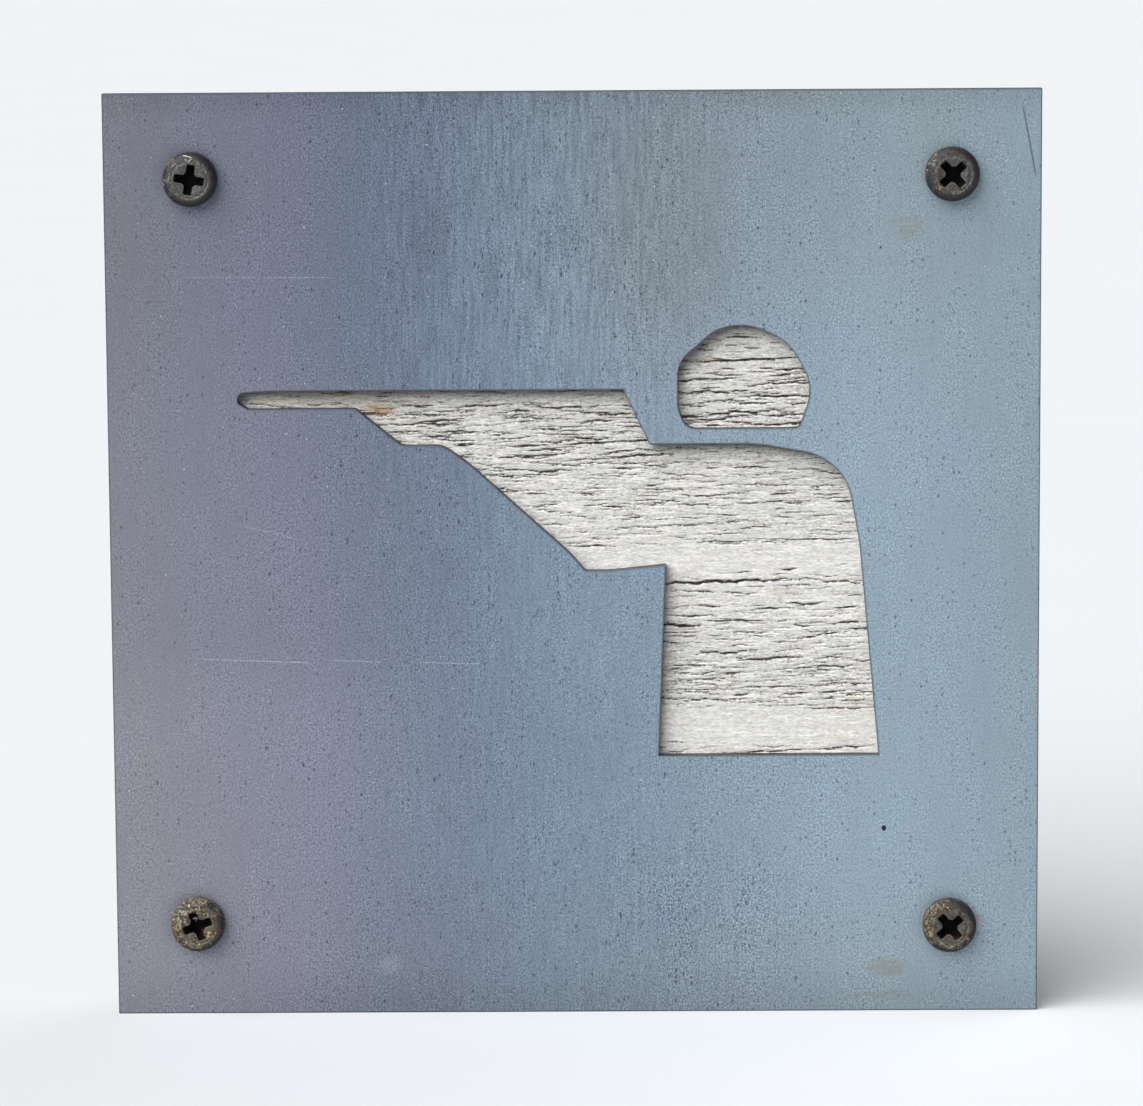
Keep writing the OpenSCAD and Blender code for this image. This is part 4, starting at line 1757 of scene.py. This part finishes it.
@dataclass
class Hanger:
    """The sawtooth hanger and its two nails in the pocket behind."""

    node: str = "sawtooth_hanger"
    slot: str = "zinc_steel"
    edge_break: float = 0.12
    nail_head_radius: float = 1.6
    nail_head: float = 0.6
    nail_head_round: float = 0.22
    nail_radius: float = 0.75
    nail_length: float = 7.8
    nail_tip: float = 2.0
    nail_tip_share: float = 0.14
    finish: ZincPlate = field(default_factory=ZincPlate)
    nail_finish: ZincPlate = ZincPlate(
        "brassed_nail", srgb(190, 164, 104), srgb(168, 134, 78), srgb(112, 92, 60)
    )

    def build_strip(self) -> bpy.types.Object:
        """Makes the stamped strip with its edges rolled.

        Returns:
            The strip, in metres.
        """
        piece = merged_copy(self.node)
        break_edges(piece, self.edge_break)
        return completed(piece, Finishing.TURNED)

    def model_nail(self) -> bpy.types.Object:
        """Makes one nail along +Z, with the underside of its head at zero.

        Returns:
            The nail, in millimetres.
        """
        top = self.nail_head
        piece = new_piece(
            "hanger_nail", bpy.ops.mesh.primitive_cylinder_add,
            vertices=40, radius=self.nail_head_radius, depth=top, location=(0, 0, top / 2),
        )
        with Bench(piece) as bench:
            bench.pick(Part.EDGE, lambda at: near(at.z, top))
            bench.bevel(self.nail_head_round, 4)
            bench.pick(Part.FACE, lambda at: near(at.z, 0), -UP)
            bench.inset(self.nail_head_radius - self.nail_radius)
            bench.pull(z=self.nail_tip - self.nail_length)
            bench.pull(z=-self.nail_tip)
            bench.scale(self.nail_tip_share, self.nail_tip_share, 1, (0, 0, -self.nail_length))
            bench.tidy()
        return piece

    def place_nail(self, model: bpy.types.Object, nail: Nail) -> bpy.types.Object:
        """Copies the nail into its hole in the strip.

        Args:
            model: The nail along +Z.
            nail: Which of the two it is.

        Returns:
            The copy, in metres.
        """
        x, z = nail.axis
        seat = span(nail.value)[1].y - self.nail_head
        place = Matrix.Translation((x, seat, z)) @ Matrix.Rotation(-math.pi / 2, 4, "X")
        return placed_copy(model, nail.value, place)

    def build(self) -> None:
        """Makes, dresses and hands over the strip and its nails."""
        hand_over(self.build_strip(), self.finish.material(), self.node)
        model = self.model_nail()
        brassed = self.nail_finish.material()
        for nail in Nail:
            hand_over(self.place_nail(model, nail), brassed, nail.value)
        bpy.data.objects.remove(model)


@dataclass
class Studio:
    """Pale floor, soft light from the upper left, and the camera of the photograph.

    The floor doesn't throw its light back at the sign, so that the cut-outs keep deep shadows.
    """

    lens: float = 156.93
    sensor: float = 36.0
    eye: tuple[float, float, float] = (0.00782, -0.80449, 0.18540)
    turn: tuple[float, float, float] = (82.1568, 0.3825, 0.5440)
    nearest: float = 0.01
    farthest: float = 200.0
    floor_size: float = 60.0
    # Each light's name, where it stands from the sign, how wide it looks in degrees, and its power
    lights: tuple = (
        ("key", (-1.05, -1.05, 1.4), 68.0, 4.54),
        ("fill", (1.3, -1.3, 0.7), 80.0, 0.1),
        ("rear", (1.0, 0.9, 0.12), 60.0, 2.0),
    )
    sky: tuple = (0.93, 0.96, 1.0, 1.0)
    sky_strength: float = 0.19

    def set_camera(self) -> None:
        """Sets the camera at the photograph's place and angle."""
        camera = bpy.data.cameras.new("camera")
        camera.lens = self.lens
        camera.sensor_width = self.sensor
        camera.sensor_fit = "HORIZONTAL"
        camera.clip_start = self.nearest
        camera.clip_end = self.farthest
        stand = bpy.data.objects.new("camera", camera)
        stand.location = self.eye
        stand.rotation_euler = [math.radians(angle) for angle in self.turn]
        bpy.context.scene.collection.objects.link(stand)
        bpy.context.scene.camera = stand

    def lay_floor(self) -> None:
        """Lays the floor that the sign stands on."""
        floor = new_piece("studio_floor", bpy.ops.mesh.primitive_plane_add, size=self.floor_size)
        floor.data.materials.append(PaleFloor().material())
        floor.visible_diffuse = False

    def hang_light(self, name: str, way: tuple[float, float, float], spread: float, power: float) -> None:
        """Hangs a wide soft light, as even over the floor as daylight.

        Args:
            name: Its name.
            way: Where it stands from the sign.
            spread: How wide it looks from the sign, in degrees.
            power: Its power, in watts to the square metre.
        """
        light = bpy.data.lights.new(name, "SUN")
        light.angle = math.radians(spread)
        light.energy = power
        lamp = bpy.data.objects.new(name, light)
        lamp.rotation_euler = Vector(way).to_track_quat("Z", "Y").to_euler()
        bpy.context.scene.collection.objects.link(lamp)

    def set_light(self) -> None:
        """Sets the soft lights, the pale surroundings and plain colours."""
        for light in self.lights:
            self.hang_light(*light)
        world = bpy.data.worlds.new("pale")
        world.use_nodes = True
        background = world.node_tree.nodes["Background"]
        background.inputs["Color"].default_value = self.sky
        background.inputs["Strength"].default_value = self.sky_strength
        bpy.context.scene.world = world
        bpy.context.scene.view_settings.view_transform = "Standard"

    def build(self) -> None:
        """Sets up the whole studio."""
        self.set_camera()
        self.lay_floor()
        self.set_light()
        log.info("studio: floor, %d lights and camera", len(self.lights))


def main() -> None:
    """Builds the studio and the sign's pieces."""
    logging.basicConfig(level=logging.INFO, format="%(name)s: %(message)s")
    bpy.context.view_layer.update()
    Studio().build()

    plate = SteelPlate()
    plate.dress(plate.build())

    board = BackingBoard()
    board.dress(board.build())

    screws = PanHeadScrews()
    model = screws.model()
    for finish in screws.finishes():
        screws.dress(screws.place(model, finish.corner), finish)
    bpy.data.objects.remove(model)

    Hanger().build()


if __name__ == "__main__":
    main()
